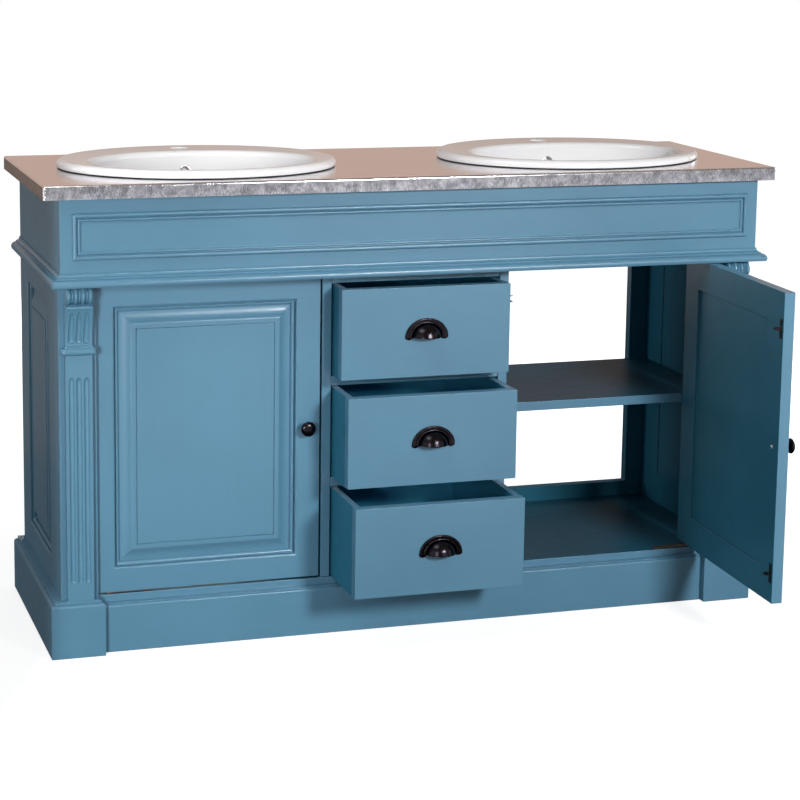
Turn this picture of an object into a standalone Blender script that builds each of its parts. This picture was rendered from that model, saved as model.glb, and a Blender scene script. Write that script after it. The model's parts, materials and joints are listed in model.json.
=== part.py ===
"""Double-basin vanity unit: painted cabinet, metal-clad worktop and two drop-in basins.

Metres, +Z up. The front faces -Y and the wall is at +Y. The origin is on the floor, under the
middle of the worktop. The right door stands open and the drawers are partly pulled out.
"""

import math

import bmesh
import bpy
from mathutils import Matrix

# Gap kept in every glued or seated joint
SEAT_GAP = 0.0003

# Basins: outer oval, bowl, drain and tap hole
BASIN_WIDTH = 0.525
BASIN_DEPTH = 0.430
BASIN_RIM_HEIGHT = 0.0155
BASIN_OVERHANG = 0.0128
BOWL_RIM_SIDE = 0.054
BOWL_RIM_FRONT = 0.025
TAP_LEDGE = 0.110
BOWL_FALL = 0.150
BOWL_WALL = 0.010
BOWL_FULLNESS = 0.6
DRAIN_RADIUS = 0.0225
DRAIN_BOSS = 0.012
TAP_HOLE_RADIUS = 0.0175
TAP_HOLE_FROM_REAR = 0.062

# Worktop, and the margins that it leaves round the basins and past the carcase
UNIT_HEIGHT = 0.860
WORKTOP_WIDTH = 1.400
WORKTOP_THICKNESS = 0.025
WORKTOP_OVERHANG = 0.030
SHEET_THICKNESS = 0.0008
BASIN_FRONT_MARGIN = 0.0322
BASIN_REAR_MARGIN = 0.0138
BASIN_END_MARGIN = 0.0655

# Boards of the carcase
BOARD_THICKNESS = 0.018
SIDE_THICKNESS = 0.020
FLOOR_TOP = 0.104
FLOOR_EDGE_SHOWN = 0.0135
SHELF_SETBACK = 0.058
CROSS_RAIL_DEPTH = 0.050

# Open back frame
BACK_THICKNESS = 0.022
BACK_STILE_WIDTH = 0.038
BACK_MULLION_WIDTH = 0.050
BACK_UPSTAND = 0.030
BACK_TOP_RAIL_HEIGHT = 0.135

# Rebated corner posts
POST_WIDTH = 0.068
POST_LIP = 0.0106
POST_REBATE_DEPTH = 0.0094
POST_DOOR_GAP = 0.002
POST_SWING_GAP = 0.0034

# Pilasters on the posts
PILASTER_WIDTH = 0.048
PILASTER_THICKNESS = 0.0135
FLUTE_COUNT = 3
FLUTE_PITCH = 0.0135
FLUTE_RADIUS = 0.005
FLUTE_DEPTH = 0.003
FLUTE_BOTTOM_MARGIN = 0.0317
FLUTE_TOP_MARGIN = 0.0385
CAPITAL_HEIGHT = 0.1256
ASTRAGAL_RADIUS = 0.0078
ASTRAGAL_WIDTH = 0.0634
NECK_FLARE = 0.0145
NECK_LIP = 0.005
ROLL_RADIUS = 0.0152
ROLL_REED_DEPTH = 0.0028
ROLL_REEDS = 4
ROLL_DROP = 0.0335
NECK_FLUTE_MARGIN = 0.008

# Members of the side frames round their panels
SIDE_FRONT_STILE = 0.0851
SIDE_REAR_STILE = 0.081
SIDE_BOTTOM_RAIL = 0.047
SIDE_TOP_RAIL = 0.0498
SIDE_STICKING = 0.022

# Raised panels of doors and sides
GROOVE_DEPTH = 0.008
TONGUE_THICKNESS = 0.0052
STICKING_DEPTH = 0.0085
QUIRK_DEPTH = 0.002
BEVEL_WIDTH = 0.027
FIELD_STEP = 0.002
FIELD_RECESS = 0.0012

# Doors
DOOR_THICKNESS = 0.0205
DOOR_MEMBER_WIDTH = 0.046
DOOR_STICKING = 0.012
DOOR_SIDE_GAP = 0.0035
DOOR_POST_LAP = 0.012
RIGHT_DOOR_OPEN_DEG = 88.0
LEFT_DOOR_OPEN_DEG = 0.0

# Pivot hinges in the gaps above and below each door
PIVOT_INSET = 0.036
PIVOT_DEPTH = 0.0125
HINGE_PLATE_LENGTH = 0.075
HINGE_ARM_LENGTH = 0.048
HINGE_LEAF_WIDTH = 0.012
HINGE_PLATE_THICKNESS = 0.0013
HINGE_ARM_THICKNESS = 0.0014
PIN_RADIUS = 0.0025
PIN_LENGTH = 0.010
PIN_CLEARANCE = 0.0003

# Door knobs, strikes and their spring clips
KNOB_EDGE = 0.0255
KNOB_RADIUS = 0.014
KNOB_LENGTH = 0.022
# The knob's outline, as shares of its radius and of its length out from the door
KNOB_SHARES = (
    (0.0, 1.0),
    (0.55, 0.96),
    (0.9, 0.84),
    (1.0, 0.7),
    (0.85, 0.55),
    (0.4, 0.42),
    (0.4, 0.2),
    (0.6, 0.1),
    (0.6, 0.0),
    (0.0, 0.0),
)
STRIKE_EDGE = 0.009
STRIKE_FROM_BOTTOM = 0.055
STRIKE_FROM_TOP = 0.066
STRIKE_HEIGHT = 0.035
STRIKE_WIDTH = 0.008
STRIKE_PLATE = 0.0015
SPEAR_LENGTH = 0.012
SPEAR_NECK = 0.0018
SPEAR_HEAD = 0.0032
CLIP_WIDTH = 0.018
CLIP_DEPTH = 0.018
CLIP_STEEL = 0.0014
CLIP_CLEARANCE = 0.0012

# Drawers
DRAWER_OPENING_WIDTH = 0.328
DRAWER_FRONT_THICKNESS = 0.020
DRAWER_REVEAL = 0.003
DRAWER_SIDE_REVEAL = 0.0015
DRAWER_BOX_CLEARANCE = 0.0035
DRAWER_BACK_GAP = 0.0265
DRAWER_WALL = 0.012
DRAWER_BOTTOM = 0.006
DRAWER_RAIL_DEPTH = 0.045
TOP_RAIL_HEIGHT = 0.021
TOP_RAIL_DEPTH = 0.020
RUNNER_WIDTH = 0.016
PULLED_OUT = {"lower": 0.158, "middle": 0.107, "upper": 0.060}

# Cup pulls
PULL_WIDTH = 0.083
PULL_HEIGHT = 0.039
PULL_RAISE = 0.0065
PULL_PROJECTION = 0.024
PULL_FLANGE = 0.0022
PULL_DOME_WIDTH = 0.057
PULL_DOME_HEIGHT = 0.0265
PULL_SHELL = 0.002

# Frieze and its planted moulding
FRIEZE_HEIGHT = 0.1532
FRIEZE_SETBACK = 0.016
FRIEZE_THICKNESS = 0.0283
FRIEZE_MARGIN_SIDE = 0.0215
FRIEZE_MARGIN_TOP = 0.026
FRIEZE_MARGIN_BOTTOM = 0.023
FRIEZE_MOULDING_WIDTH = 0.017
FRIEZE_MOULDING_HEIGHT = 0.0065
# The frieze moulding's outline, as shares of its width and height
FRIEZE_MOULDING_SHARES = ((0.0, 0.6), (0.15, 1.0), (0.4, 1.0), (0.5, 0.5), (0.85, 0.4))

# Waist moulding round the front and sides
WAIST_DROP = 0.0024
WAIST_NOSE = 0.005
WAIST_OVOLO = 0.009
WAIST_FILLET = 0.0025
WAIST_COVE = 0.0065
WAIST_PROJECTION = 0.018
WAIST_TOP_FILLET = 0.001

# Plinth
PLINTH_PROJECTION = 0.021
PLINTH_BLOCK_WIDTH = 0.098
PLINTH_BLOCK_OVOLO = 0.006
PLINTH_BLOCK_FILLET = 0.005
FRONT_PLINTH_THICKNESS = 0.0171
FRONT_PLINTH_OVOLO = 0.004
FRONT_PLINTH_FILLET = 0.002
PLINTH_QUIRK = 0.0015

# Facets on round pieces
OVAL_SEGMENTS = 36
BOWL_RINGS = 5
TURNED_STEPS = 16
BORE_STEPS = 12
ARC_STEPS = 4

# Heights and front planes that follow from the sizes above
WORKTOP_DEPTH = BASIN_FRONT_MARGIN + BASIN_DEPTH + BASIN_REAR_MARGIN
CARCASE_WIDTH = WORKTOP_WIDTH - 2 * WORKTOP_OVERHANG
FRONT_Y = -WORKTOP_DEPTH / 2
BACK_Y = WORKTOP_DEPTH / 2
BACK_INNER_Y = BACK_Y - BACK_THICKNESS
FRIEZE_Y = FRONT_Y + FRIEZE_SETBACK
POST_Y = FRIEZE_Y + FRIEZE_THICKNESS + SEAT_GAP
DOOR_Y = POST_Y + POST_LIP + POST_DOOR_GAP
POST_BACK_Y = POST_Y + POST_LIP + POST_REBATE_DEPTH
WORKTOP_UNDER = UNIT_HEIGHT - WORKTOP_THICKNESS
CARCASE_TOP = WORKTOP_UNDER - SEAT_GAP
CARCASE_X = CARCASE_WIDTH / 2
SIDE_INNER_X = CARCASE_X - SIDE_THICKNESS
POST_INNER_X = CARCASE_X - POST_WIDTH
OPENING_X = DRAWER_OPENING_WIDTH / 2
DIVIDER_X = OPENING_X + BOARD_THICKNESS
SOFFIT = WORKTOP_UNDER - FRIEZE_HEIGHT
SHELF_TOP = (FLOOR_TOP + SOFFIT + BOARD_THICKNESS) / 2
WAIST_BOTTOM = SOFFIT - WAIST_DROP
WAIST_TOP = WAIST_BOTTOM + WAIST_NOSE + WAIST_OVOLO + WAIST_FILLET + WAIST_COVE + WAIST_TOP_FILLET

# Drawers share the height between the floor and their top rail
DRAWERS_TOP = SOFFIT - SEAT_GAP - TOP_RAIL_HEIGHT
DRAWER_PITCH = (DRAWERS_TOP + BOARD_THICKNESS - FLOOR_TOP) / len(PULLED_OUT)
DRAWER_FRONT_HEIGHT = DRAWER_PITCH - BOARD_THICKNESS - 2 * DRAWER_REVEAL
DRAWER_BOX_HEIGHT = DRAWER_REVEAL + DRAWER_FRONT_HEIGHT - SEAT_GAP
DRAWER_BOX_DEPTH = BACK_INNER_Y - DRAWER_BACK_GAP - DOOR_Y - DRAWER_FRONT_THICKNESS - SEAT_GAP

# Door place and pivot
DOOR_END_GAP = 3 * SEAT_GAP + HINGE_PLATE_THICKNESS + HINGE_ARM_THICKNESS
DOOR_BOTTOM = FLOOR_TOP + DOOR_END_GAP
DOOR_TOP = SOFFIT - DOOR_END_GAP
DOOR_FREE_X = DIVIDER_X + DOOR_SIDE_GAP
DOOR_HINGE_X = POST_INNER_X + DOOR_POST_LAP
PIVOT_X = DOOR_HINGE_X - PIVOT_INSET
PIVOT_Y = DOOR_Y + PIVOT_DEPTH
POST_REBATE_X = PIVOT_X + math.hypot(PIVOT_INSET, PIVOT_DEPTH) + POST_SWING_GAP

# Finishes: colour, roughness, metallic
PAINT = ((0.118, 0.262, 0.362, 1.0), 0.42, 0.0)
ZINC_SHEET = ((0.62, 0.60, 0.58, 1.0), 0.28, 1.0)
FIBREBOARD = ((0.42, 0.30, 0.19, 1.0), 0.85, 0.0)
GLAZED_CHINA = ((0.82, 0.82, 0.81, 1.0), 0.08, 0.0)
DARK_BRONZE = ((0.018, 0.014, 0.012, 1.0), 0.34, 0.9)
BRASS = ((0.70, 0.46, 0.22, 1.0), 0.30, 1.0)
BLACK_IRON = ((0.012, 0.012, 0.013, 1.0), 0.45, 0.9)


def clear_scene():
    """Removes whatever the file starts with."""
    for thing in list(bpy.data.objects):
        bpy.data.objects.remove(thing, do_unlink=True)


def new_collection(name):
    """A collection linked to the scene."""
    collection = bpy.data.collections.new(name)
    bpy.context.scene.collection.children.link(collection)
    return collection


clear_scene()
PARTS = new_collection("vanity_unit")
CUTTERS = new_collection("vanity_unit_cutters")


def finish_material(name, finish):
    """A Principled material with one finish."""
    colour, roughness, metallic = finish
    material = bpy.data.materials.new(name + "_finish")
    material.use_nodes = True
    shader = material.node_tree.nodes["Principled BSDF"]
    shader.inputs["Base Color"].default_value = colour
    shader.inputs["Roughness"].default_value = roughness
    shader.inputs["Metallic"].default_value = metallic
    return material


def add_object(name, mesh, finish, parent=None):
    """Puts a mesh into the parts as a named piece."""
    piece = bpy.data.objects.new(name, mesh)
    piece.parent = parent
    mesh.materials.append(finish_material(name, finish))
    PARTS.objects.link(piece)
    return piece


def make_operand(piece):
    """Moves a piece to the cutters, so that it only shapes another piece."""
    PARTS.objects.unlink(piece)
    CUTTERS.objects.link(piece)
    piece.hide_render = True
    piece.display_type = "WIRE"
    return piece


def combine(piece, operand, operation):
    """Cuts one piece by another or joins them."""
    modifier = piece.modifiers.new(operation.lower() + "_" + operand.name, "BOOLEAN")
    modifier.operation = operation
    modifier.object = make_operand(operand)
    return piece


def mesh_from(name, bm):
    """A mesh with its faces pointing out."""
    bmesh.ops.recalc_face_normals(bm, faces=bm.faces)
    mesh = bpy.data.meshes.new(name)
    bm.to_mesh(mesh)
    bm.free()
    return mesh


def box(name, low, high, finish, parent=None):
    """A board between two corners."""
    size = [b - a for a, b in zip(low, high)]
    middle = [(a + b) / 2 for a, b in zip(low, high)]
    bm = bmesh.new()
    bmesh.ops.create_cube(bm, size=1.0, matrix=Matrix.Translation(middle) @ Matrix.Diagonal((*size, 1.0)))
    return add_object(name, mesh_from(name, bm), finish, parent)


def side_box(name, side, low, high, finish, parent=None):
    """A board given for the right side, mirrored to the left where side is -1."""
    ends = sorted((side * low[0], side * high[0]))
    return box(name, (ends[0], *low[1:]), (ends[1], *high[1:]), finish, parent)


def evaluated_mesh(thing):
    """A mesh copy of a curve or of a mesh with modifiers, with its seams welded."""
    graph = bpy.context.evaluated_depsgraph_get()
    mesh = bpy.data.meshes.new_from_object(thing.evaluated_get(graph))
    bm = bmesh.new()
    bm.from_mesh(mesh)
    bmesh.ops.remove_doubles(bm, verts=bm.verts, dist=1e-6)
    name = thing.name
    bpy.data.objects.remove(thing, do_unlink=True)
    return name, bm


# Where a flat outline's two axes and its thickness point, for a prism along each axis
PRISM_AXES = {
    "X": Matrix(((0, 0, 1, 0), (1, 0, 0, 0), (0, 1, 0, 0), (0, 0, 0, 1))),
    "Y": Matrix(((1, 0, 0, 0), (0, 0, -1, 0), (0, 1, 0, 0), (0, 0, 0, 1))),
    "Z": Matrix.Identity(4),
}


def prism(name, outlines, axis, start, end, finish, parent=None):
    """A flat outline, with any holes, drawn out along one axis from start to end."""
    curve = bpy.data.curves.new(name, "CURVE")
    curve.dimensions = "2D"
    curve.fill_mode = "BOTH"
    curve.extrude = abs(end - start) / 2
    for outline in outlines:
        spline = curve.splines.new("POLY")
        spline.points.add(len(outline) - 1)
        for point, (u, v) in zip(spline.points, outline):
            point.co = (u, v, 0.0, 1.0)
        spline.use_cyclic_u = True
    drawn = bpy.data.objects.new(name, curve)
    PARTS.objects.link(drawn)
    name, bm = evaluated_mesh(drawn)
    middle = {"X": (1, 0, 0), "Y": (0, 1, 0), "Z": (0, 0, 1)}[axis]
    offset = Matrix.Translation([share * (start + end) / 2 for share in middle])
    bmesh.ops.transform(bm, matrix=offset @ PRISM_AXES[axis], verts=bm.verts)
    return add_object(name, mesh_from(name, bm), finish, parent)


def loft(name, rings, finish, parent=None, closed=False):
    """A skin through rings of points: closed on itself, or capped by its end rings."""
    bm = bmesh.new()
    loops = [[bm.verts.new(point) for point in ring] for ring in rings]
    following = loops[1:] + loops[:1] if closed else loops[1:]
    for near, far in zip(loops, following):
        for first in range(len(near)):
            second = (first + 1) % len(near)
            bm.faces.new((near[first], near[second], far[second], far[first]))
    if not closed:
        bm.faces.new(loops[0])
        bm.faces.new(loops[-1])
    return add_object(name, mesh_from(name, bm), finish, parent)


def turned(name, profile, finish, parent=None, steps=TURNED_STEPS):
    """A profile of (radius, height) points, top to bottom, turned about local Z."""
    bm = bmesh.new()
    verts = [bm.verts.new((radius, 0.0, height)) for radius, height in profile]
    for upper, lower in zip(verts, verts[1:]):
        bm.edges.new((upper, lower))
    mesh = bpy.data.meshes.new(name)
    bm.to_mesh(mesh)
    bm.free()
    piece = add_object(name, mesh, finish, parent)
    screw = piece.modifiers.new("turn", "SCREW")
    screw.steps = steps
    screw.render_steps = steps
    screw.use_merge_vertices = True
    screw.merge_threshold = 1e-5
    screw.use_smooth_shade = True
    return piece


def arc(centre, radius, start_deg, end_deg, steps=ARC_STEPS):
    """Points along an arc, both ends included."""
    angles = [math.radians(start_deg + (end_deg - start_deg) * i / steps) for i in range(steps + 1)]
    return [(centre[0] + radius * math.cos(a), centre[1] + radius * math.sin(a)) for a in angles]


def oval(centre, half_width, half_depth, steps=OVAL_SEGMENTS):
    """Points round an ellipse."""
    angles = [2 * math.pi * i / steps for i in range(steps)]
    return [(centre[0] + half_width * math.cos(a), centre[1] + half_depth * math.sin(a)) for a in angles]


def cylinder(name, radius, start, end, place, finish, parent=None, segments=TURNED_STEPS):
    """A round bar along local Z from start to end, set by a matrix."""
    bm = bmesh.new()
    bmesh.ops.create_cone(
        bm,
        cap_ends=True,
        segments=segments,
        radius1=radius,
        radius2=radius,
        depth=abs(end - start),
        matrix=place @ Matrix.Translation((0, 0, (start + end) / 2)),
    )
    return add_object(name, mesh_from(name, bm), finish, parent)


def rectangle(low_u, low_v, high_u, high_v, inset=0.0):
    """Corners of a rectangle, drawn in by an inset."""
    low_u, low_v = low_u + inset, low_v + inset
    high_u, high_v = high_u - inset, high_v - inset
    return [(low_u, low_v), (high_u, low_v), (high_u, high_v), (low_u, high_v)]


def frame_rings(outer, opening, thickness, sticking):
    """Rings of a panelled frame: flat faces, moulded inner edge and the panel's groove."""
    groove_front = STICKING_DEPTH + SEAT_GAP
    groove_back = groove_front + TONGUE_THICKNESS + 2 * SEAT_GAP
    groove_floor = sticking - GROOVE_DEPTH
    section = (
        (0.0, 0.0),
        (QUIRK_DEPTH, QUIRK_DEPTH),
        (sticking / 2, STICKING_DEPTH / 2),
        (sticking, STICKING_DEPTH),
        (sticking, groove_front),
        (groove_floor, groove_front),
        (groove_floor, groove_back),
        (sticking, groove_back),
        (sticking, thickness),
    )
    rings = [(rectangle(*outer), 0.0)]
    rings += [(rectangle(*opening, inset=inset), depth) for inset, depth in section]
    rings.append((rectangle(*outer), thickness))
    return rings


def panel_rings(opening, sticking):
    """Rings of a raised panel whose tongue fills the frame's groove."""
    tongue_front = STICKING_DEPTH + 2 * SEAT_GAP
    tongue_back = tongue_front + TONGUE_THICKNESS
    tongue_edge = sticking - GROOVE_DEPTH + SEAT_GAP
    bevel_start = sticking + QUIRK_DEPTH
    bevel_end = sticking + BEVEL_WIDTH
    section = (
        (tongue_edge, tongue_back),
        (tongue_edge, tongue_front),
        (bevel_start, tongue_front),
        ((bevel_start + bevel_end) / 2, tongue_front - (tongue_front - FIELD_STEP - FIELD_RECESS) / 3),
        (bevel_end, FIELD_RECESS + FIELD_STEP),
        (bevel_end, FIELD_RECESS),
    )
    return [(rectangle(*opening, inset=inset), depth) for inset, depth in section]


def place_rings(rings, place):
    """Turns flat rings with a depth each into points."""
    return [[place(u, v, depth) for u, v in outline] for outline, depth in rings]


def swept(name, profile, stations, finish):
    """A moulding: a profile of (out, height) points carried round mitred corners.

    Each station is a corner on the face that carries the moulding, and the way out from it.
    """
    rings = [[(x + mx * out, y + my * out, z) for out, z in profile] for (x, y), (mx, my) in stations]
    return loft(name, rings, finish)


def notched_board(name, low_y, high_y, notch_x, low_z, high_z):
    """A board between the side frames, with its front corners notched round the posts."""
    end_x = SIDE_INNER_X - SEAT_GAP
    notch_y = POST_BACK_Y + SEAT_GAP
    notch_x -= SEAT_GAP
    outline = [
        (-notch_x, low_y),
        (notch_x, low_y),
        (notch_x, notch_y),
        (end_x, notch_y),
        (end_x, high_y),
        (-end_x, high_y),
        (-end_x, notch_y),
        (-notch_x, notch_y),
    ]
    return prism(name, [outline], "Z", low_z, high_z, PAINT)


def side_name(side):
    """The word for a side: -1 is left, +1 is right."""
    return "left" if side < 0 else "right"


def basin_centre(side):
    """The middle of a basin's outer oval."""
    from_middle = WORKTOP_WIDTH / 2 - BASIN_END_MARGIN - BASIN_WIDTH / 2
    return side * from_middle, FRONT_Y + BASIN_FRONT_MARGIN + BASIN_DEPTH / 2


def cutout(side):
    """The oval hole in the worktop for one basin."""
    half_width = BASIN_WIDTH / 2 - BASIN_OVERHANG
    half_depth = BASIN_DEPTH / 2 - BASIN_OVERHANG
    return oval(basin_centre(side), half_width, half_depth)


def build_worktop():
    """The board with its two holes, and the sheet folded over it."""
    half = WORKTOP_WIDTH / 2
    skin = SHEET_THICKNESS + SEAT_GAP
    holes = [cutout(-1), cutout(1)]
    core = rectangle(-half, FRONT_Y, half, BACK_Y, inset=skin)
    prism("worktop_core", [core] + holes, "Z", WORKTOP_UNDER, UNIT_HEIGHT - skin, FIBREBOARD)
    whole = rectangle(-half, FRONT_Y, half, BACK_Y)
    cladding = prism("worktop_cladding", [whole] + holes, "Z", WORKTOP_UNDER, UNIT_HEIGHT, ZINC_SHEET)
    low = (-half + SHEET_THICKNESS, FRONT_Y + SHEET_THICKNESS, WORKTOP_UNDER - WORKTOP_THICKNESS)
    high = (half - SHEET_THICKNESS, BACK_Y - SHEET_THICKNESS, UNIT_HEIGHT - SHEET_THICKNESS)
    combine(cladding, box("cladding_hollow", low, high, ZINC_SHEET), "DIFFERENCE")


def bowl_rings(centre, half_width, half_depth, top, fall, drain):
    """Ovals from a bowl's mouth down to its drain, as (centre, half width, half depth, height)."""
    rings = []
    for step in range(BOWL_RINGS):
        angle = math.pi / 2 * step / BOWL_RINGS
        share = math.cos(angle) ** BOWL_FULLNESS
        height = top - fall * math.sin(angle)
        rings.append((centre, half_width * share, half_depth * share, height))
    rings.append((centre, drain, drain, top - fall))
    return rings


def build_basin(side):
    """A drop-in basin: rolled rim, tap ledge at the back, oval bowl and drain."""
    name = side_name(side) + "_basin"
    middle = basin_centre(side)
    seat = UNIT_HEIGHT + SEAT_GAP
    rim_top = seat + BASIN_RIM_HEIGHT
    half_width = BASIN_WIDTH / 2
    half_depth = BASIN_DEPTH / 2
    bowl_half_width = half_width - BOWL_RIM_SIDE
    bowl_half_depth = half_depth - (BOWL_RIM_FRONT + TAP_LEDGE) / 2
    bowl_middle = (middle[0], middle[1] + (BOWL_RIM_FRONT - TAP_LEDGE) / 2)
    edge = BASIN_RIM_HEIGHT / 2
    rim = [
        (middle, half_width, half_depth, seat),
        (middle, half_width, half_depth, seat + edge),
        (middle, half_width - edge / 3, half_depth - edge / 3, rim_top - edge / 4),
        (middle, half_width - edge, half_depth - edge, rim_top),
        (bowl_middle, bowl_half_width + edge, bowl_half_depth + edge, rim_top),
        (bowl_middle, bowl_half_width + edge / 4, bowl_half_depth + edge / 4, rim_top - edge / 4),
    ]
    mouth = rim_top - edge
    inside = bowl_rings(bowl_middle, bowl_half_width, bowl_half_depth, mouth, BOWL_FALL, DRAIN_RADIUS)
    boss_radius = DRAIN_RADIUS + BOWL_WALL
    boss_bottom = mouth - BOWL_FALL - DRAIN_BOSS - BOWL_WALL
    boss = [
        (bowl_middle, DRAIN_RADIUS, DRAIN_RADIUS, boss_bottom),
        (bowl_middle, boss_radius, boss_radius, boss_bottom),
    ]
    outside = bowl_rings(
        bowl_middle,
        bowl_half_width + BOWL_WALL,
        bowl_half_depth + BOWL_WALL,
        seat,
        BOWL_FALL + BOWL_WALL + seat - mouth,
        boss_radius,
    )
    rings = [
        [(x, y, height) for x, y in oval(centre, width, depth)]
        for centre, width, depth, height in rim + inside + boss + outside[::-1]
    ]
    basin = loft(name, rings, GLAZED_CHINA, closed=True)
    tap = Matrix.Translation((middle[0], middle[1] + half_depth - TAP_HOLE_FROM_REAR, 0))
    hole = cylinder(
        name + "_tap_hole",
        TAP_HOLE_RADIUS,
        seat - BASIN_RIM_HEIGHT,
        rim_top + BASIN_RIM_HEIGHT,
        tap,
        GLAZED_CHINA,
    )
    combine(basin, hole, "DIFFERENCE")


def build_side(side):
    """A side frame and its raised panel."""
    outer = (POST_BACK_Y + SEAT_GAP, 0.0, BACK_Y, CARCASE_TOP)
    opening = (
        POST_BACK_Y + SEAT_GAP + SIDE_FRONT_STILE,
        FLOOR_TOP + SIDE_BOTTOM_RAIL,
        BACK_Y - SIDE_REAR_STILE,
        SOFFIT - SIDE_TOP_RAIL,
    )

    def place(u, v, depth):
        return side * (CARCASE_X - depth), u, v

    rings = frame_rings(outer, opening, SIDE_THICKNESS, SIDE_STICKING)
    loft(side_name(side) + "_side_frame", place_rings(rings, place), PAINT, closed=True)
    rings = panel_rings(opening, SIDE_STICKING)
    loft(side_name(side) + "_side_panel", place_rings(rings, place), PAINT)


def build_corner_post(side):
    """A front stile, rebated behind for the door's hinge edge."""
    lip_back = DOOR_Y - POST_DOOR_GAP
    outline = [
        (side * POST_INNER_X, POST_Y),
        (side * CARCASE_X, POST_Y),
        (side * CARCASE_X, POST_BACK_Y),
        (side * POST_REBATE_X, POST_BACK_Y),
        (side * POST_REBATE_X, lip_back),
        (side * POST_INNER_X, lip_back),
    ]
    prism(side_name(side) + "_corner_post", [outline], "Z", 0.0, CARCASE_TOP, PAINT)


def roll_profile():
    """The reeded roll's outline: one bulge for each reed, from end to end."""
    length = PILASTER_WIDTH
    valley = ROLL_RADIUS - ROLL_REED_DEPTH
    points = [(0.0, length / 2)]
    for step in range(ROLL_REEDS * ARC_STEPS + 1):
        bulge = abs(math.sin(math.pi * step / ARC_STEPS))
        height = length / 2 - length * step / (ROLL_REEDS * ARC_STEPS)
        points.append((valley + ROLL_REED_DEPTH * bulge, height))
    points.append((0.0, -length / 2))
    return points


def build_pilaster(side):
    """A fluted pilaster with a cross bead, a flared neck and a reeded roll."""
    name = side_name(side) + "_pilaster"
    middle_x = side * (POST_INNER_X + CARCASE_X) / 2
    back = POST_Y - SEAT_GAP
    face = POST_Y - PILASTER_THICKNESS
    bottom = FLOOR_TOP + SEAT_GAP
    top = WAIST_BOTTOM - SEAT_GAP
    astragal_bottom = top - CAPITAL_HEIGHT
    astragal_middle = astragal_bottom + ASTRAGAL_RADIUS
    neck_bottom = astragal_bottom + 2 * ASTRAGAL_RADIUS
    neck_top = top - ROLL_DROP
    neck_height = neck_top - NECK_LIP - neck_bottom
    flare = []
    for step in range(1, ARC_STEPS + 1):
        share = step / ARC_STEPS
        flare.append((face - NECK_FLARE * share * share, neck_bottom + neck_height * share))
    lip = face - NECK_FLARE
    outline = [(back, bottom), (face, bottom), (face, neck_bottom)] + flare
    outline += [(lip, neck_top), (face, neck_top + NECK_LIP), (face, top), (back, top)]
    left, right = middle_x - PILASTER_WIDTH / 2, middle_x + PILASTER_WIDTH / 2
    pilaster = prism(name, [outline], "X", left, right, PAINT)

    bead = [(back, astragal_bottom)] + arc((face, astragal_middle), ASTRAGAL_RADIUS, 270, 90)
    bead.append((back, neck_bottom))
    bead_left, bead_right = middle_x - ASTRAGAL_WIDTH / 2, middle_x + ASTRAGAL_WIDTH / 2
    combine(pilaster, prism(name + "_bead", [bead], "X", bead_left, bead_right, PAINT), "UNION")

    roll = turned(name + "_roll", roll_profile(), PAINT)
    roll_y = back - ROLL_RADIUS - ROLL_REED_DEPTH / 2
    roll.location = (middle_x, roll_y, top - ROLL_RADIUS)
    roll.rotation_euler = (0.0, math.pi / 2, 0.0)
    combine(pilaster, roll, "UNION")

    neck_lean = math.atan2(NECK_FLARE, neck_height)
    axis_out = FLUTE_RADIUS - FLUTE_DEPTH
    flute_bottom = bottom + FLUTE_BOTTOM_MARGIN
    flute_top = astragal_bottom - FLUTE_TOP_MARGIN
    for index in range(FLUTE_COUNT):
        flute_x = middle_x + (index - (FLUTE_COUNT - 1) / 2) * FLUTE_PITCH
        label = name + "_flute_" + str(index + 1)
        upright = Matrix.Translation((flute_x, face - axis_out, 0))
        shaft = cylinder(label, FLUTE_RADIUS, flute_bottom, flute_top, upright, PAINT, segments=BORE_STEPS)
        combine(pilaster, shaft, "DIFFERENCE")
        foot = Matrix.Translation((flute_x, face - axis_out, neck_bottom))
        leaning = foot @ Matrix.Rotation(neck_lean, 4, "X")
        end = neck_height - NECK_FLUTE_MARGIN
        start = NECK_FLUTE_MARGIN
        neck = cylinder(label + "_neck", FLUTE_RADIUS, start, end, leaning, PAINT, segments=BORE_STEPS)
        combine(pilaster, neck, "DIFFERENCE")


def build_frieze():
    """The frieze board and the moulding planted on it."""
    low = (-CARCASE_X, FRIEZE_Y, SOFFIT)
    high = (CARCASE_X, POST_Y - SEAT_GAP, CARCASE_TOP)
    box("front_frieze", low, high, PAINT)
    half = CARCASE_X - FRIEZE_MARGIN_SIDE
    outline = (-half, WAIST_TOP + FRIEZE_MARGIN_BOTTOM, half, WORKTOP_UNDER - FRIEZE_MARGIN_TOP)
    width, height = FRIEZE_MOULDING_WIDTH, FRIEZE_MOULDING_HEIGHT
    section = [(0.0, SEAT_GAP)]
    section += [(across * width, up * height) for across, up in FRIEZE_MOULDING_SHARES]
    section.append((width, SEAT_GAP))
    rings = [(rectangle(*outline, inset=inset), out) for inset, out in section]

    def place(u, v, out):
        return u, FRIEZE_Y - out, v

    loft("frieze_moulding", place_rings(rings, place), PAINT, closed=True)


def waist_profile():
    """The waist moulding: nose and ovolo below, fillet, cove and top fillet above."""
    ovolo_middle = (WAIST_PROJECTION - WAIST_OVOLO, WAIST_BOTTOM + WAIST_NOSE)
    undercut = -math.degrees(math.asin(min(1.0, WAIST_NOSE / WAIST_OVOLO)))
    cove_bottom = WAIST_BOTTOM + WAIST_NOSE + WAIST_OVOLO + WAIST_FILLET
    cove_middle = (WAIST_PROJECTION - WAIST_OVOLO, cove_bottom + WAIST_COVE)
    profile = [(SEAT_GAP, WAIST_BOTTOM)]
    profile += arc(ovolo_middle, WAIST_OVOLO, undercut, 90)
    profile += arc(cove_middle, WAIST_COVE, 270, 180)
    profile += [(cove_middle[0] - WAIST_COVE, WAIST_TOP), (SEAT_GAP, WAIST_TOP)]
    return profile


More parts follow.
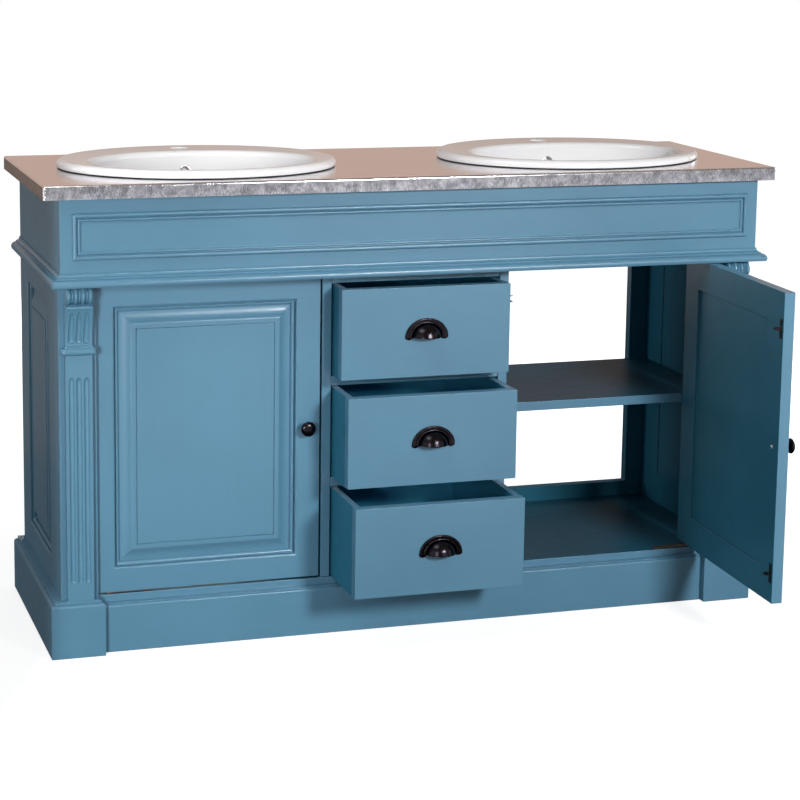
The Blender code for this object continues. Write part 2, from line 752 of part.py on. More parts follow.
def build_waist_moulding():
    """One moulding carried round the front and both sides."""
    stations = [
        ((-CARCASE_X, BACK_Y), (-1, 0)),
        ((-CARCASE_X, FRIEZE_Y), (-1, -1)),
        ((CARCASE_X, FRIEZE_Y), (1, -1)),
        ((CARCASE_X, BACK_Y), (1, 0)),
    ]
    swept("waist_moulding", waist_profile(), stations, PAINT)


def plinth_profile(thickness, height, ovolo, fillet):
    """A plinth board with a quarter round and a small fillet along its top edge."""
    profile = [(SEAT_GAP, 0.0), (thickness, 0.0)]
    profile += arc((thickness - ovolo, height - fillet - ovolo), ovolo, 0, 90)
    fillet_face = thickness - ovolo - PLINTH_QUIRK
    profile += [(fillet_face, height - fillet), (fillet_face, height), (SEAT_GAP, height)]
    return profile


def build_plinth():
    """The front plinth, and each side's plinth with its corner block."""
    block_inner = CARCASE_X + PLINTH_PROJECTION - PLINTH_BLOCK_WIDTH
    front_end = block_inner - SEAT_GAP
    height = FLOOR_TOP - FLOOR_EDGE_SHOWN
    profile = plinth_profile(FRONT_PLINTH_THICKNESS, height, FRONT_PLINTH_OVOLO, FRONT_PLINTH_FILLET)
    stations = [((-front_end, DOOR_Y), (0, -1)), ((front_end, DOOR_Y), (0, -1))]
    swept("front_plinth", profile, stations, PAINT)
    profile = plinth_profile(PLINTH_PROJECTION, FLOOR_TOP, PLINTH_BLOCK_OVOLO, PLINTH_BLOCK_FILLET)
    for side in (-1, 1):
        stations = [
            ((side * CARCASE_X, BACK_Y), (side, 0)),
            ((side * CARCASE_X, POST_Y), (side, -1)),
            ((side * block_inner, POST_Y), (0, -1)),
        ]
        swept(side_name(side) + "_plinth", profile, stations, PAINT)


def build_inner_carcase():
    """Bottom board, floor bearer, cross rail, dividers with runners, shelves and back frame."""
    rear = BACK_INNER_Y - SEAT_GAP
    floor_under = FLOOR_TOP - BOARD_THICKNESS
    notched_board("bottom_board", DOOR_Y, rear, POST_REBATE_X, floor_under, FLOOR_TOP)
    notched_board(
        "front_cross_rail", POST_Y, POST_Y + CROSS_RAIL_DEPTH, POST_INNER_X, SOFFIT, SOFFIT + BOARD_THICKNESS
    )
    half = BOARD_THICKNESS / 2
    box("floor_bearer", (-half, DOOR_Y, 0.0), (half, rear, floor_under - SEAT_GAP), PAINT)
    for side in (-1, 1):
        word = side_name(side)
        low = (OPENING_X, DOOR_Y, FLOOR_TOP + SEAT_GAP)
        divider = side_box(word + "_divider", side, low, (DIVIDER_X, rear, SOFFIT - SEAT_GAP), PAINT)
        for level in range(1, len(PULLED_OUT)):
            runner_top = FLOOR_TOP + level * DRAWER_PITCH
            runner_front = DOOR_Y + DRAWER_RAIL_DEPTH + SEAT_GAP
            low = (OPENING_X - RUNNER_WIDTH, runner_front, runner_top - BOARD_THICKNESS)
            high = (OPENING_X + BOARD_THICKNESS / 2, rear, runner_top)
            runner = side_box(word + "_runner_" + str(level), side, low, high, PAINT)
            combine(divider, runner, "UNION")
        low = (DIVIDER_X + SEAT_GAP, DOOR_Y + SHELF_SETBACK, SHELF_TOP - BOARD_THICKNESS)
        side_box(word + "_shelf", side, low, (SIDE_INNER_X - SEAT_GAP, rear, SHELF_TOP), PAINT)

    end = SIDE_INNER_X - SEAT_GAP
    mullion = (OPENING_X + DIVIDER_X) / 2
    mullion_inner = mullion - BACK_MULLION_WIDTH / 2
    mullion_outer = mullion + BACK_MULLION_WIDTH / 2
    lower, upper = FLOOR_TOP + BACK_UPSTAND, CARCASE_TOP - BACK_TOP_RAIL_HEIGHT
    outlines = [
        rectangle(-end, 0.0, end, CARCASE_TOP),
        rectangle(-end + BACK_STILE_WIDTH, lower, -mullion_outer, upper),
        rectangle(-mullion_inner, lower, mullion_inner, upper),
        rectangle(mullion_outer, lower, end - BACK_STILE_WIDTH, upper),
    ]
    prism("back_frame", outlines, "Y", BACK_INNER_Y, BACK_Y, PAINT)


def build_drawer_rails():
    """The rails above and between the drawers."""
    end = OPENING_X - SEAT_GAP
    low = (-end, DOOR_Y, DRAWERS_TOP)
    box("drawer_top_rail", low, (end, DOOR_Y + TOP_RAIL_DEPTH, SOFFIT - SEAT_GAP), PAINT)
    for level, name in ((1, "lower_drawer_rail"), (2, "upper_drawer_rail")):
        top = FLOOR_TOP + level * DRAWER_PITCH
        low = (-end, DOOR_Y, top - BOARD_THICKNESS)
        box(name, low, (end, DOOR_Y + DRAWER_RAIL_DEPTH, top), PAINT)


def joint_empty(name, location, turn_deg=0.0):
    """An empty on a joint's axis, which carries the moving pieces."""
    empty = bpy.data.objects.new(name, None)
    empty.location = location
    empty.rotation_euler = (0.0, 0.0, math.radians(turn_deg))
    PARTS.objects.link(empty)
    return empty


def build_cup_pull(name, centre_z, parent):
    """A cup pull: arched back flange, and a bulged shell open below."""
    low = centre_z - PULL_HEIGHT / 2
    half = PULL_WIDTH / 2
    back = -SEAT_GAP
    arch = [
        (half * math.cos(a), low + PULL_HEIGHT * math.sin(a))
        for a in (math.pi * i / (2 * ARC_STEPS) for i in range(2 * ARC_STEPS + 1))
    ]
    pull = prism(name, [arch], "Y", back - PULL_FLANGE, back, DARK_BRONZE, parent)

    bm = bmesh.new()
    size = Matrix.Diagonal((PULL_DOME_WIDTH / 2, PULL_PROJECTION, PULL_DOME_HEIGHT, 1.0))
    base = Matrix.Translation((0.0, back - PULL_FLANGE / 3, low + PULL_FLANGE / 2))
    bmesh.ops.create_uvsphere(bm, u_segments=TURNED_STEPS, v_segments=8, radius=1.0)
    for normal in ((0, 1, 0), (0, 0, -1)):
        everything = bm.verts[:] + bm.edges[:] + bm.faces[:]
        bmesh.ops.bisect_plane(bm, geom=everything, plane_co=(0, 0, 0), plane_no=normal, clear_outer=True)
    bmesh.ops.transform(bm, matrix=base @ size, verts=bm.verts)
    mesh = bpy.data.meshes.new(name + "_dome")
    bm.to_mesh(mesh)
    bm.free()
    dome = add_object(name + "_dome", mesh, DARK_BRONZE, parent)
    shell = dome.modifiers.new("shell", "SOLIDIFY")
    shell.thickness = PULL_SHELL
    shell.offset = -1.0
    combine(pull, dome, "UNION")


def build_drawer(word, level):
    """One drawer, carried by an empty that is pulled out from its closed place."""
    base = FLOOR_TOP + level * DRAWER_PITCH
    slide = joint_empty(word + "_drawer_slide", (0.0, DOOR_Y - PULLED_OUT[word], base))
    half = OPENING_X - DRAWER_SIDE_REVEAL
    low = (-half, 0.0, DRAWER_REVEAL)
    high = (half, DRAWER_FRONT_THICKNESS, DRAWER_REVEAL + DRAWER_FRONT_HEIGHT)
    box(word + "_drawer_front", low, high, PAINT, slide)

    half = OPENING_X - DRAWER_BOX_CLEARANCE
    front = DRAWER_FRONT_THICKNESS + SEAT_GAP
    rear = front + DRAWER_BOX_DEPTH
    high = (half, rear, SEAT_GAP + DRAWER_BOX_HEIGHT)
    drawer_box = box(word + "_drawer_box", (-half, front, SEAT_GAP), high, PAINT, slide)
    low = (-half + DRAWER_WALL, front - DRAWER_WALL, SEAT_GAP + DRAWER_BOTTOM)
    high = (half - DRAWER_WALL, rear - DRAWER_WALL, 2 * DRAWER_BOX_HEIGHT)
    combine(drawer_box, box(word + "_drawer_hollow", low, high, PAINT, slide), "DIFFERENCE")
    pull_z = DRAWER_REVEAL + DRAWER_FRONT_HEIGHT / 2 + PULL_RAISE
    build_cup_pull(word + "_drawer_pull", pull_z, slide)


def leaf_outline(side, length):
    """A hinge leaf seen from above: straight, with a round end about the pivot at the origin."""
    half = HINGE_LEAF_WIDTH / 2
    outline = [(-length, half), (-length, -half)] + arc((0.0, 0.0), half, -90, 90)
    return [(side * x, y) for x, y in outline]


def build_hinge_plates(side):
    """The two leaves fixed to the cabinet, each with its pin."""
    place = Matrix.Translation((side * PIVOT_X, PIVOT_Y, 0.0))
    for word, seat, way in (("lower", FLOOR_TOP, 1), ("upper", SOFFIT, -1)):
        name = side_name(side) + "_" + word + "_hinge_plate"
        start = seat + way * SEAT_GAP
        end = start + way * HINGE_PLATE_THICKNESS
        outline = [(x + side * PIVOT_X, y + PIVOT_Y) for x, y in leaf_outline(side, HINGE_PLATE_LENGTH)]
        plate = prism(name, [outline], "Z", min(start, end), max(start, end), BRASS)
        pin_start = start + way * HINGE_PLATE_THICKNESS / 3
        pin_end = start + way * PIN_LENGTH
        pin = cylinder(name + "_pin", PIN_RADIUS, pin_start, pin_end, place, BRASS, segments=BORE_STEPS)
        combine(plate, pin, "UNION")


def spear_outline(face):
    """A strike seen from its side: screw plate, and a spear standing out from the door."""
    plate = face + STRIKE_PLATE
    tip = plate + SPEAR_LENGTH
    barb = tip - 2 * SPEAR_HEAD
    half = [
        (face, STRIKE_HEIGHT / 2),
        (plate, STRIKE_HEIGHT / 2),
        (plate, SPEAR_NECK),
        (barb, SPEAR_NECK),
        (barb, SPEAR_HEAD),
        (tip, SPEAR_NECK / 2),
    ]
    return half + [(y, -z) for y, z in reversed(half)]


def clip_outline(face):
    """A spring clip seen from its side: two arms joined at the back, open to the front."""
    inner = SPEAR_HEAD + CLIP_CLEARANCE
    outer = inner + CLIP_STEEL
    front = face + STRIKE_PLATE + CLIP_CLEARANCE
    rear = front + CLIP_DEPTH
    half = [
        (rear, outer),
        (front + CLIP_STEEL, outer),
        (front, outer + CLIP_STEEL),
        (front, inner + CLIP_STEEL),
        (front + CLIP_STEEL, inner),
        (rear - CLIP_STEEL, inner),
    ]
    return half + [(y, -z) for y, z in reversed(half)]


def strike_heights():
    """Heights of the two strikes on a door."""
    return (("lower", DOOR_BOTTOM + STRIKE_FROM_BOTTOM), ("upper", DOOR_TOP - STRIKE_FROM_TOP))


def build_clips(side):
    """The two spring clips on a divider that hold a door's strikes."""
    face = DOOR_Y + DOOR_THICKNESS + SEAT_GAP
    start = side * (DIVIDER_X + SEAT_GAP)
    end = start + side * CLIP_WIDTH
    for word, height in strike_heights():
        outline = [(y, z + height) for y, z in clip_outline(face)]
        name = side_name(side) + "_" + word + "_catch_clip"
        prism(name, [outline], "X", min(start, end), max(start, end), BLACK_IRON)


def build_door(side, open_deg):
    """A panelled door with its knob, strikes and hinge arms, carried by an empty on the pivot."""
    word = side_name(side)
    pivot = joint_empty(word + "_door_pivot", (side * PIVOT_X, PIVOT_Y, 0.0), side * open_deg)
    free = DOOR_FREE_X - PIVOT_X
    hinge = DOOR_HINGE_X - PIVOT_X
    outer = (free, DOOR_BOTTOM, hinge, DOOR_TOP)
    opening = tuple(edge + way * DOOR_MEMBER_WIDTH for edge, way in zip(outer, (1, 1, -1, -1)))

    def place(u, v, depth):
        return side * u, depth - PIVOT_DEPTH, v

    rings = frame_rings(outer, opening, DOOR_THICKNESS, DOOR_STICKING)
    frame = loft(word + "_door_frame", place_rings(rings, place), PAINT, pivot, closed=True)
    rings = panel_rings(opening, DOOR_STICKING)
    loft(word + "_door_panel", place_rings(rings, place), PAINT, pivot)

    hole_radius = PIN_RADIUS + PIN_CLEARANCE
    hole_circle = oval((0.0, 0.0), hole_radius, hole_radius, BORE_STEPS)
    for end_word, edge, way in (("lower", DOOR_BOTTOM, 1), ("upper", DOOR_TOP, -1)):
        label = word + "_" + end_word
        bore = cylinder(
            label + "_pin_bore",
            hole_radius,
            edge - way * PIN_LENGTH,
            edge + way * PIN_LENGTH,
            Matrix.Identity(4),
            PAINT,
            pivot,
            segments=BORE_STEPS,
        )
        combine(frame, bore, "DIFFERENCE")
        start = edge - way * SEAT_GAP
        end = start - way * HINGE_ARM_THICKNESS
        outlines = [leaf_outline(side, HINGE_ARM_LENGTH), hole_circle]
        prism(label + "_hinge_arm", outlines, "Z", min(start, end), max(start, end), BRASS, pivot)

    inner_face = DOOR_THICKNESS - PIVOT_DEPTH + SEAT_GAP
    strike_x = side * (free + STRIKE_EDGE)
    strike_left, strike_right = strike_x - STRIKE_WIDTH / 2, strike_x + STRIKE_WIDTH / 2
    for end_word, height in strike_heights():
        outline = [(y, z + height) for y, z in spear_outline(inner_face)]
        name = word + "_" + end_word + "_strike"
        prism(name, [outline], "X", strike_left, strike_right, BLACK_IRON, pivot)

    profile = [(across * KNOB_RADIUS, out * KNOB_LENGTH) for across, out in KNOB_SHARES]
    knob = turned(word + "_door_knob", profile, DARK_BRONZE, pivot)
    knob.location = (side * (free + KNOB_EDGE), -PIVOT_DEPTH - SEAT_GAP, (DOOR_BOTTOM + DOOR_TOP) / 2)
    knob.rotation_euler = (math.pi / 2, 0.0, 0.0)


def build_vanity():
    """Builds the whole unit."""
    build_worktop()
    build_inner_carcase()
    build_drawer_rails()
    build_frieze()
    build_waist_moulding()
    build_plinth()
    for side in (-1, 1):
        build_basin(side)
        build_side(side)
        build_corner_post(side)
        build_pilaster(side)
        build_hinge_plates(side)
        build_clips(side)
    build_door(-1, LEFT_DOOR_OPEN_DEG)
    build_door(1, RIGHT_DOOR_OPEN_DEG)
    for level, word in enumerate(PULLED_OUT):
        build_drawer(word, level)


build_vanity()
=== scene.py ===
"""Looks of a painted double-basin vanity unit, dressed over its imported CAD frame.

Metres, +Z up, in the frame's own place: the front faces -Y, the wall is at +Y and the floor is z = 0.
Doors are modelled where they sit when shut, then carried to where the frame shows them at rest.
"""

from __future__ import annotations

import json
import logging
import math
from collections.abc import Sequence
from dataclasses import dataclass
from enum import Enum

import bmesh
import bpy
from mathutils import Matrix, Vector

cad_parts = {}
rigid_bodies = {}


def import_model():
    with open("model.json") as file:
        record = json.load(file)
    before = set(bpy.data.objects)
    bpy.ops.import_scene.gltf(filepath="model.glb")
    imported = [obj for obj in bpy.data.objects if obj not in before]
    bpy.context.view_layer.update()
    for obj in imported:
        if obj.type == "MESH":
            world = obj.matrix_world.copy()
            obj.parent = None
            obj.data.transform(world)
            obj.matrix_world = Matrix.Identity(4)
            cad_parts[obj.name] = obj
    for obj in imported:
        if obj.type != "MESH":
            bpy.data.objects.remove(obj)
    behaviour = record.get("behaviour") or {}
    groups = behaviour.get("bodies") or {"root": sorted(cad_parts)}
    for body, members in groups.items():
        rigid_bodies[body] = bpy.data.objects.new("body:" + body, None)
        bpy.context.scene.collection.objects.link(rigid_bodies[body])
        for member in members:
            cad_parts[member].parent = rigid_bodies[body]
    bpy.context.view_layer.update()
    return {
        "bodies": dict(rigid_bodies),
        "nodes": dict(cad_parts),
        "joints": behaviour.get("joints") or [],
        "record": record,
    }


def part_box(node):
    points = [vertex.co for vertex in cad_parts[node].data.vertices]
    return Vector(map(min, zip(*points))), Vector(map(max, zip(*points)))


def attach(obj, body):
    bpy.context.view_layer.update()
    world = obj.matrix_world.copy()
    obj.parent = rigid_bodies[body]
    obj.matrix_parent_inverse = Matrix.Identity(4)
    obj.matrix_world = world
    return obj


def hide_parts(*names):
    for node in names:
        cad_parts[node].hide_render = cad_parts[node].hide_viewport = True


LOG = logging.getLogger("vanity")

# Edges that turn by more than this stay crisp
CRISP_ANGLE = math.radians(38)
# Gap that the frame keeps in every seated joint
SEAT_GAP = 0.0003
# Where a rounded tip stops, just short of its axis
TIP_DEG = 88
UP = (0.0, 0.0, 1.0)
UNSTRETCHED = (1.0, 1.0, 1.0)
WHITE = (1.0, 1.0, 1.0, 1.0)

Flat = tuple[float, float]
Colour = tuple[float, float, float]
Place = tuple[float, float, float]
Rings = list[list[Vector]]


class Slot(Enum):
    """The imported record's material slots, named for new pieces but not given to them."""

    PAINT = "painted_wood"
    SHEET = "worktop_sheet"
    CHINA = "basin_china"
    BRONZE = "bronze_hardware"


class Side(Enum):
    """A side of the unit, seen from the front, with the sign of x there."""

    LEFT = -1
    RIGHT = 1

    @property
    def word(self) -> str:
        """The side's word in names."""
        return self.name.lower()


class Grain(Enum):
    """The axis that a board's grain and brush marks follow."""

    ALONG_X = 0
    ALONG_Y = 1
    ALONG_Z = 2


class Shelter(Enum):
    """Which faces of a piece are indoors and get painted shade: a direction, the least cosine to it, and
    the shade colour.
    """

    # Each colour is a darker paint that stands in for the shade falling on these faces.
    OPEN = ((0.0, 0.0, 0.0), 1.0, (0.0, 0.0, 0.0))
    BOARD = ((0.0, 1.0, 0.0), -0.5, (0.012, 0.085, 0.135))
    BACK = ((0.0, -1.0, 0.0), -0.5, (0.020, 0.120, 0.185))
    DOOR = ((0.0, 1.0, 0.0), 0.5, (0.028, 0.170, 0.260))
    LEFT_SIDE = ((1.0, 0.0, 0.0), 0.5, (0.022, 0.160, 0.250))
    RIGHT_SIDE = ((-1.0, 0.0, 0.0), 0.5, (0.022, 0.160, 0.250))
    DRAWER_BOX = ((0.0, 0.0, -1.0), -0.5, (0.028, 0.180, 0.280))


class Carving(Enum):
    """What a second solid does to a piece."""

    CUT = "DIFFERENCE"
    JOIN = "UNION"


class NodeGraph:
    """Shader nodes, with short calls to add and join them."""

    def __init__(self, tree: bpy.types.NodeTree) -> None:
        """Takes the tree that the nodes go in."""
        self.tree = tree

    def add(self, kind: str, **inputs: object) -> bpy.types.Node:
        """Adds a node.

        Args:
            kind: The node's type, without its common prefix.
            inputs: Values or sockets for its inputs, named with _ for spaces.

        Returns:
            The new node.
        """
        node = self.tree.nodes.new("ShaderNode" + kind)
        for key, value in inputs.items():
            self.feed(node.inputs[key.replace("_", " ")], value)
        return node

    def join(self, kind: str, *values: object, operation: str = "") -> bpy.types.Node:
        """Adds a node and feeds its inputs in their order.

        Args:
            kind: The node's type, without its common prefix.
            values: Values or sockets for its inputs.
            operation: What the node does with them, if it has a choice.

        Returns:
            The new node.
        """
        node = self.tree.nodes.new("ShaderNode" + kind)
        if operation:
            node.operation = operation
        for socket, value in zip(node.inputs, values):
            self.feed(socket, value)
        return node

    def feed(self, socket: bpy.types.NodeSocket, value: object) -> None:
        """Links a socket to an input, or sets a plain value on it.

        Args:
            socket: The input.
            value: A socket to link it to, or a plain value.
        """
        if isinstance(value, bpy.types.NodeSocket):
            self.tree.links.new(value, socket)
        else:
            socket.default_value = value

    def places(self, scale: Sequence[float] = UNSTRETCHED) -> bpy.types.NodeSocket:
        """The piece's own coordinates, stretched by a scale along each axis."""
        coordinates = self.add("TexCoord").outputs["Object"]
        return self.add("Mapping", Vector=coordinates, Scale=tuple(scale)).outputs["Vector"]

    def noise(
        self, vector: bpy.types.NodeSocket, scale: float, detail: float = 3.0
    ) -> bpy.types.NodeSocket:
        """Even noise from 0 to 1 with so many features in a metre."""
        return self.add("TexNoise", Vector=vector, Scale=scale, Detail=detail).outputs["Fac"]

    def spread(
        self, value: bpy.types.NodeSocket, low: float, high: float, start: float = 0.3, end: float = 0.7
    ) -> bpy.types.NodeSocket:
        """Carries a value between start and end to the range from low to high."""
        node = self.add("MapRange", Value=value, From_Min=start, From_Max=end, To_Min=low, To_Max=high)
        return node.outputs["Result"]

    def mix(self, factor: bpy.types.NodeSocket, first: Colour, second: Colour) -> bpy.types.NodeSocket:
        """A colour between two, by a factor from 0 to 1.

        Args:
            factor: The factor.
            first: The colour at 0.
            second: The colour at 1.

        Returns:
            The mixed colour.
        """
        node = self.add("ValToRGB", Fac=factor)
        for element, colour in zip(node.color_ramp.elements, (first, second)):
            element.color = (*colour, 1.0)
        return node.outputs["Color"]

    def facing(self, direction: Place) -> bpy.types.NodeSocket:
        """How far a face of the piece turns to a direction.

        Args:
            direction: A direction of length 1.

        Returns:
            A cosine.
        """
        normal = self.add("TexCoord").outputs["Normal"]
        turn = self.join("VectorMath", normal, direction, operation="DOT_PRODUCT")
        return turn.outputs["Value"]

    def inwards(self) -> bpy.types.NodeSocket:
        """How far a face of a hollow box turns to the box's middle.

        Returns:
            A cosine, scaled by how far off the middle is.
        """
        own = self.add("TexCoord").outputs
        way = self.join("VectorMath", (0.5, 0.5, 0.5), own["Generated"], operation="SUBTRACT")
        turn = self.join("VectorMath", way.outputs["Vector"], own["Normal"], operation="DOT_PRODUCT")
        return turn.outputs["Value"]

    def blend(
        self, factor: bpy.types.NodeSocket, first: bpy.types.NodeSocket, second: bpy.types.NodeSocket
    ) -> bpy.types.NodeSocket:
        """A colour between two coloured sockets, by a factor from 0 to 1.

        Args:
            factor: The factor.
            first: The colour at 0.
            second: The colour at 1.

        Returns:
            The blended colour.
        """
        node = self.add("Mix")
        node.data_type = "RGBA"
        colours = [socket for socket in node.inputs if socket.type == "RGBA"]
        for socket, value in zip((node.inputs["Factor"], *colours), (factor, first, second)):
            self.feed(socket, value)
        return next(socket for socket in node.outputs if socket.type == "RGBA")

    def total(
        self, first: bpy.types.NodeSocket, second: bpy.types.NodeSocket, share: float
    ) -> bpy.types.NodeSocket:
        """The first value plus a share of the second."""
        return self.join("Math", second, share, first, operation="MULTIPLY_ADD").outputs["Value"]


class FinishGraph(NodeGraph):
    """A finish's nodes, round its one shader."""

    def __init__(self, name: str) -> None:
        """Starts a material with its shader.

        Args:
            name: The material's name.
        """
        self.material = bpy.data.materials.new(name)
        self.material.use_nodes = True
        super().__init__(self.material.node_tree)
        self.shader = self.tree.nodes["Principled BSDF"]

    def bump(self, height: bpy.types.NodeSocket, depth: float, strength: float = 1.0) -> None:
        """Roughens the shader's surface by a height map of a depth in metres."""
        node = self.add("Bump", Height=height, Distance=depth, Strength=strength)
        self.feed(self.shader.inputs["Normal"], node.outputs["Normal"])

    def shade(self, **inputs: object) -> bpy.types.Material:
        """Sets the shader's inputs and gives the material.

        Args:
            inputs: Values or sockets, named with _ for spaces.

        Returns:
            The finished material.
        """
        for key, value in inputs.items():
            self.feed(self.shader.inputs[key.replace("_", " ")], value)
        return self.material


def shades(colour: Colour, change: float) -> tuple[Colour, Colour]:
    """A darker and a lighter shade of a colour.

    Args:
        colour: The middle colour.
        change: The share by which each differs from it.

    Returns:
        The two shades.
    """
    darker = tuple(channel * (1 - change) for channel in colour)
    lighter = tuple(channel * (1 + change) for channel in colour)
    return darker, lighter


@dataclass(frozen=True)
class SatinPaint:
    """Satin paint, brushed along a board's grain, with painted shade on indoor faces and painted light
    inside drawer boxes.
    """

    grain: Grain
    shelter: Shelter
    colour: Colour = (0.094, 0.234, 0.345)
    change: float = 0.05
    sheen: float = 0.54
    roughness: Flat = (0.30, 0.38)
    # Painted shade: indoor faces take a darker colour and a weaker sheen.
    indoor_sheen: float = 0.16
    indoor_change: float = 0.10
    indoor_ease: float = 0.1
    # Painted light: a brighter colour on the inner faces of a drawer box, where little light reaches.
    box_inside: Colour = (0.058, 0.345, 0.535)
    box_turn: Flat = (0.05, 0.15)
    patch_scale: float = 5.0
    tone_span: Flat = (0.45, 0.9)
    gloss_scale: float = 45.0
    brush_scale: float = 320.0
    brush_detail: float = 4.0
    brush_stretch: float = 0.03
    brush_share: float = 0.35
    peel_scale: float = 900.0
    peel_detail: float = 2.0
    peel_share: float = 0.25
    relief: Flat = (0.00022, 0.22)

    def material(self) -> bpy.types.Material:
        """Builds the paint's nodes.

        Returns:
            The paint.
        """
        graph = FinishGraph(f"satin_paint_{self.shelter.name}_{self.grain.name}".lower())
        stretch = list(UNSTRETCHED)
        stretch[self.grain.value] = self.brush_stretch
        even = graph.places()
        marks = graph.noise(graph.places(stretch), self.brush_scale, self.brush_detail)
        patches = graph.noise(even, self.patch_scale)
        tone = graph.spread(graph.total(patches, marks, self.brush_share), 0.0, 1.0, *self.tone_span)
        gloss = graph.noise(even, self.gloss_scale)
        peel = graph.noise(even, self.peel_scale, self.peel_detail)
        graph.bump(graph.total(marks, peel, self.peel_share), *self.relief)
        colour = graph.mix(tone, *shades(self.colour, self.change))
        sheen = self.sheen
        # Painted shade: faces turned indoors blend to the darker shade colour and a weaker sheen.
        if self.shelter is not Shelter.OPEN:
            direction, limit, painted_shade_colour = self.shelter.value
            facing = graph.facing(direction)
            turn = (limit - self.indoor_ease, limit + self.indoor_ease)
            inner = graph.mix(tone, *shades(painted_shade_colour, self.indoor_change))
            colour = graph.blend(graph.spread(facing, 0.0, 1.0, *turn), colour, inner)
            sheen = graph.spread(facing, self.sheen, self.indoor_sheen, *turn)
        # Painted light: the inner faces of a drawer box blend to the brighter colour.
        if self.shelter is Shelter.DRAWER_BOX:
            inner = graph.mix(tone, *shades(self.box_inside, self.indoor_change))
            colour = graph.blend(graph.spread(graph.inwards(), 0.0, 1.0, *self.box_turn), colour, inner)
        return graph.shade(
            Base_Color=colour,
            Roughness=graph.spread(gloss, *self.roughness),
            Specular_IOR_Level=sheen,
        )


@dataclass(frozen=True)
class ZincSheet:
    """Bright rolled sheet with a crystalline mottle, worn but for its level faces."""

    colour: Colour = (0.70, 0.70, 0.73)
    worn_change: float = 0.32
    level_change: float = 0.05
    level_turn: Flat = (0.6, 0.95)
    roughness: Flat = (0.13, 0.19)
    crystal_scale: float = 520.0
    crystal_detail: float = 5.0
    crystal_stretch: float = 0.35
    blotch_scale: float = 70.0
    blotch_detail: float = 4.0
    blotch_share: float = 0.7
    tone_span: Flat = (0.60, 1.10)
    relief: Flat = (0.0008, 0.10)

    def material(self) -> bpy.types.Material:
        """Builds the sheet's nodes.

        Returns:
            The sheet's finish.
        """
        graph = FinishGraph("zinc_sheet")
        stretched = graph.places((1.0, 1.0, self.crystal_stretch))
        crystals = graph.noise(stretched, self.crystal_scale, self.crystal_detail)
        blotch = graph.noise(graph.places(), self.blotch_scale, self.blotch_detail)
        both = graph.total(crystals, blotch, self.blotch_share)
        graph.bump(both, *self.relief)
        tone = graph.spread(both, 0.0, 1.0, *self.tone_span)
        worn = graph.mix(tone, *shades(self.colour, self.worn_change))
        even = graph.mix(tone, *shades(self.colour, self.level_change))
        level = graph.spread(graph.facing(UP), 0.0, 1.0, *self.level_turn)
        return graph.shade(
            Base_Color=graph.blend(level, worn, even),
            Metallic=1.0,
            Roughness=graph.spread(blotch, *self.roughness),
        )


@dataclass(frozen=True)
class GlazedChina:
    """White glazed china with a faint ripple in the glaze."""

    colour: Colour = (0.86, 0.855, 0.865)
    change: float = 0.015
    sheen: float = 0.55
    roughness: Flat = (0.05, 0.09)
    cloud_scale: float = 9.0
    ripple_scale: float = 60.0
    ripple_detail: float = 2.0
    relief: Flat = (0.0002, 0.25)

    def material(self) -> bpy.types.Material:
        """Builds the glaze's nodes.

        Returns:
            The glaze.
        """
        graph = FinishGraph("glazed_china")
        even = graph.places()
        ripple = graph.noise(even, self.ripple_scale, self.ripple_detail)
        cloud = graph.noise(even, self.cloud_scale)
        graph.bump(ripple, *self.relief)
        return graph.shade(
            Base_Color=graph.mix(graph.spread(cloud, 0.0, 1.0), *shades(self.colour, self.change)),
            Roughness=graph.spread(ripple, *self.roughness),
            Specular_IOR_Level=self.sheen,
        )


@dataclass(frozen=True)
class Metal:
    """A solid metal, or rubber where it isn't metallic, with a cloudy surface and fine pits."""

    name: str
    colour: Colour
    change: float
    roughness: Flat
    metallic: float = 1.0
    cloud_scale: float = 90.0
    cloud_detail: float = 5.0
    cloud_share: float = 0.5
    pit_scale: float = 900.0
    pit_detail: float = 2.0
    relief: Flat = (0.0003, 0.3)

    def material(self) -> bpy.types.Material:
        """Builds the metal's nodes.

        Returns:
            The metal's finish.
        """
        graph = FinishGraph(self.name)
        even = graph.places()
        cloud = graph.noise(even, self.cloud_scale, self.cloud_detail)
        pits = graph.noise(even, self.pit_scale, self.pit_detail)
        graph.bump(graph.total(pits, cloud, self.cloud_share), *self.relief)
        return graph.shade(
            Base_Color=graph.mix(graph.spread(cloud, 0.0, 1.0), *shades(self.colour, self.change)),
            Metallic=self.metallic,
            Roughness=graph.spread(cloud, *self.roughness),
        )


@dataclass(frozen=True)
class Fibreboard:
    """Raw fibreboard with short flecks."""

    colour: Colour = (0.42, 0.30, 0.19)
    change: float = 0.22
    roughness: Flat = (0.78, 0.92)
    fleck_scale: float = 420.0
    fleck_detail: float = 5.0
    fleck_stretch: float = 0.5
    relief: Flat = (0.0004, 0.4)

    def material(self) -> bpy.types.Material:
        """Builds the board's nodes.

        Returns:
            The board's finish.
        """
        graph = FinishGraph("fibreboard")
        stretched = graph.places((self.fleck_stretch, self.fleck_stretch, 1.0))
        flecks = graph.noise(stretched, self.fleck_scale, self.fleck_detail)
        graph.bump(flecks, *self.relief)
        return graph.shade(
            Base_Color=graph.mix(graph.spread(flecks, 0.0, 1.0), *shades(self.colour, self.change)),
            Roughness=graph.spread(flecks, *self.roughness),
        )


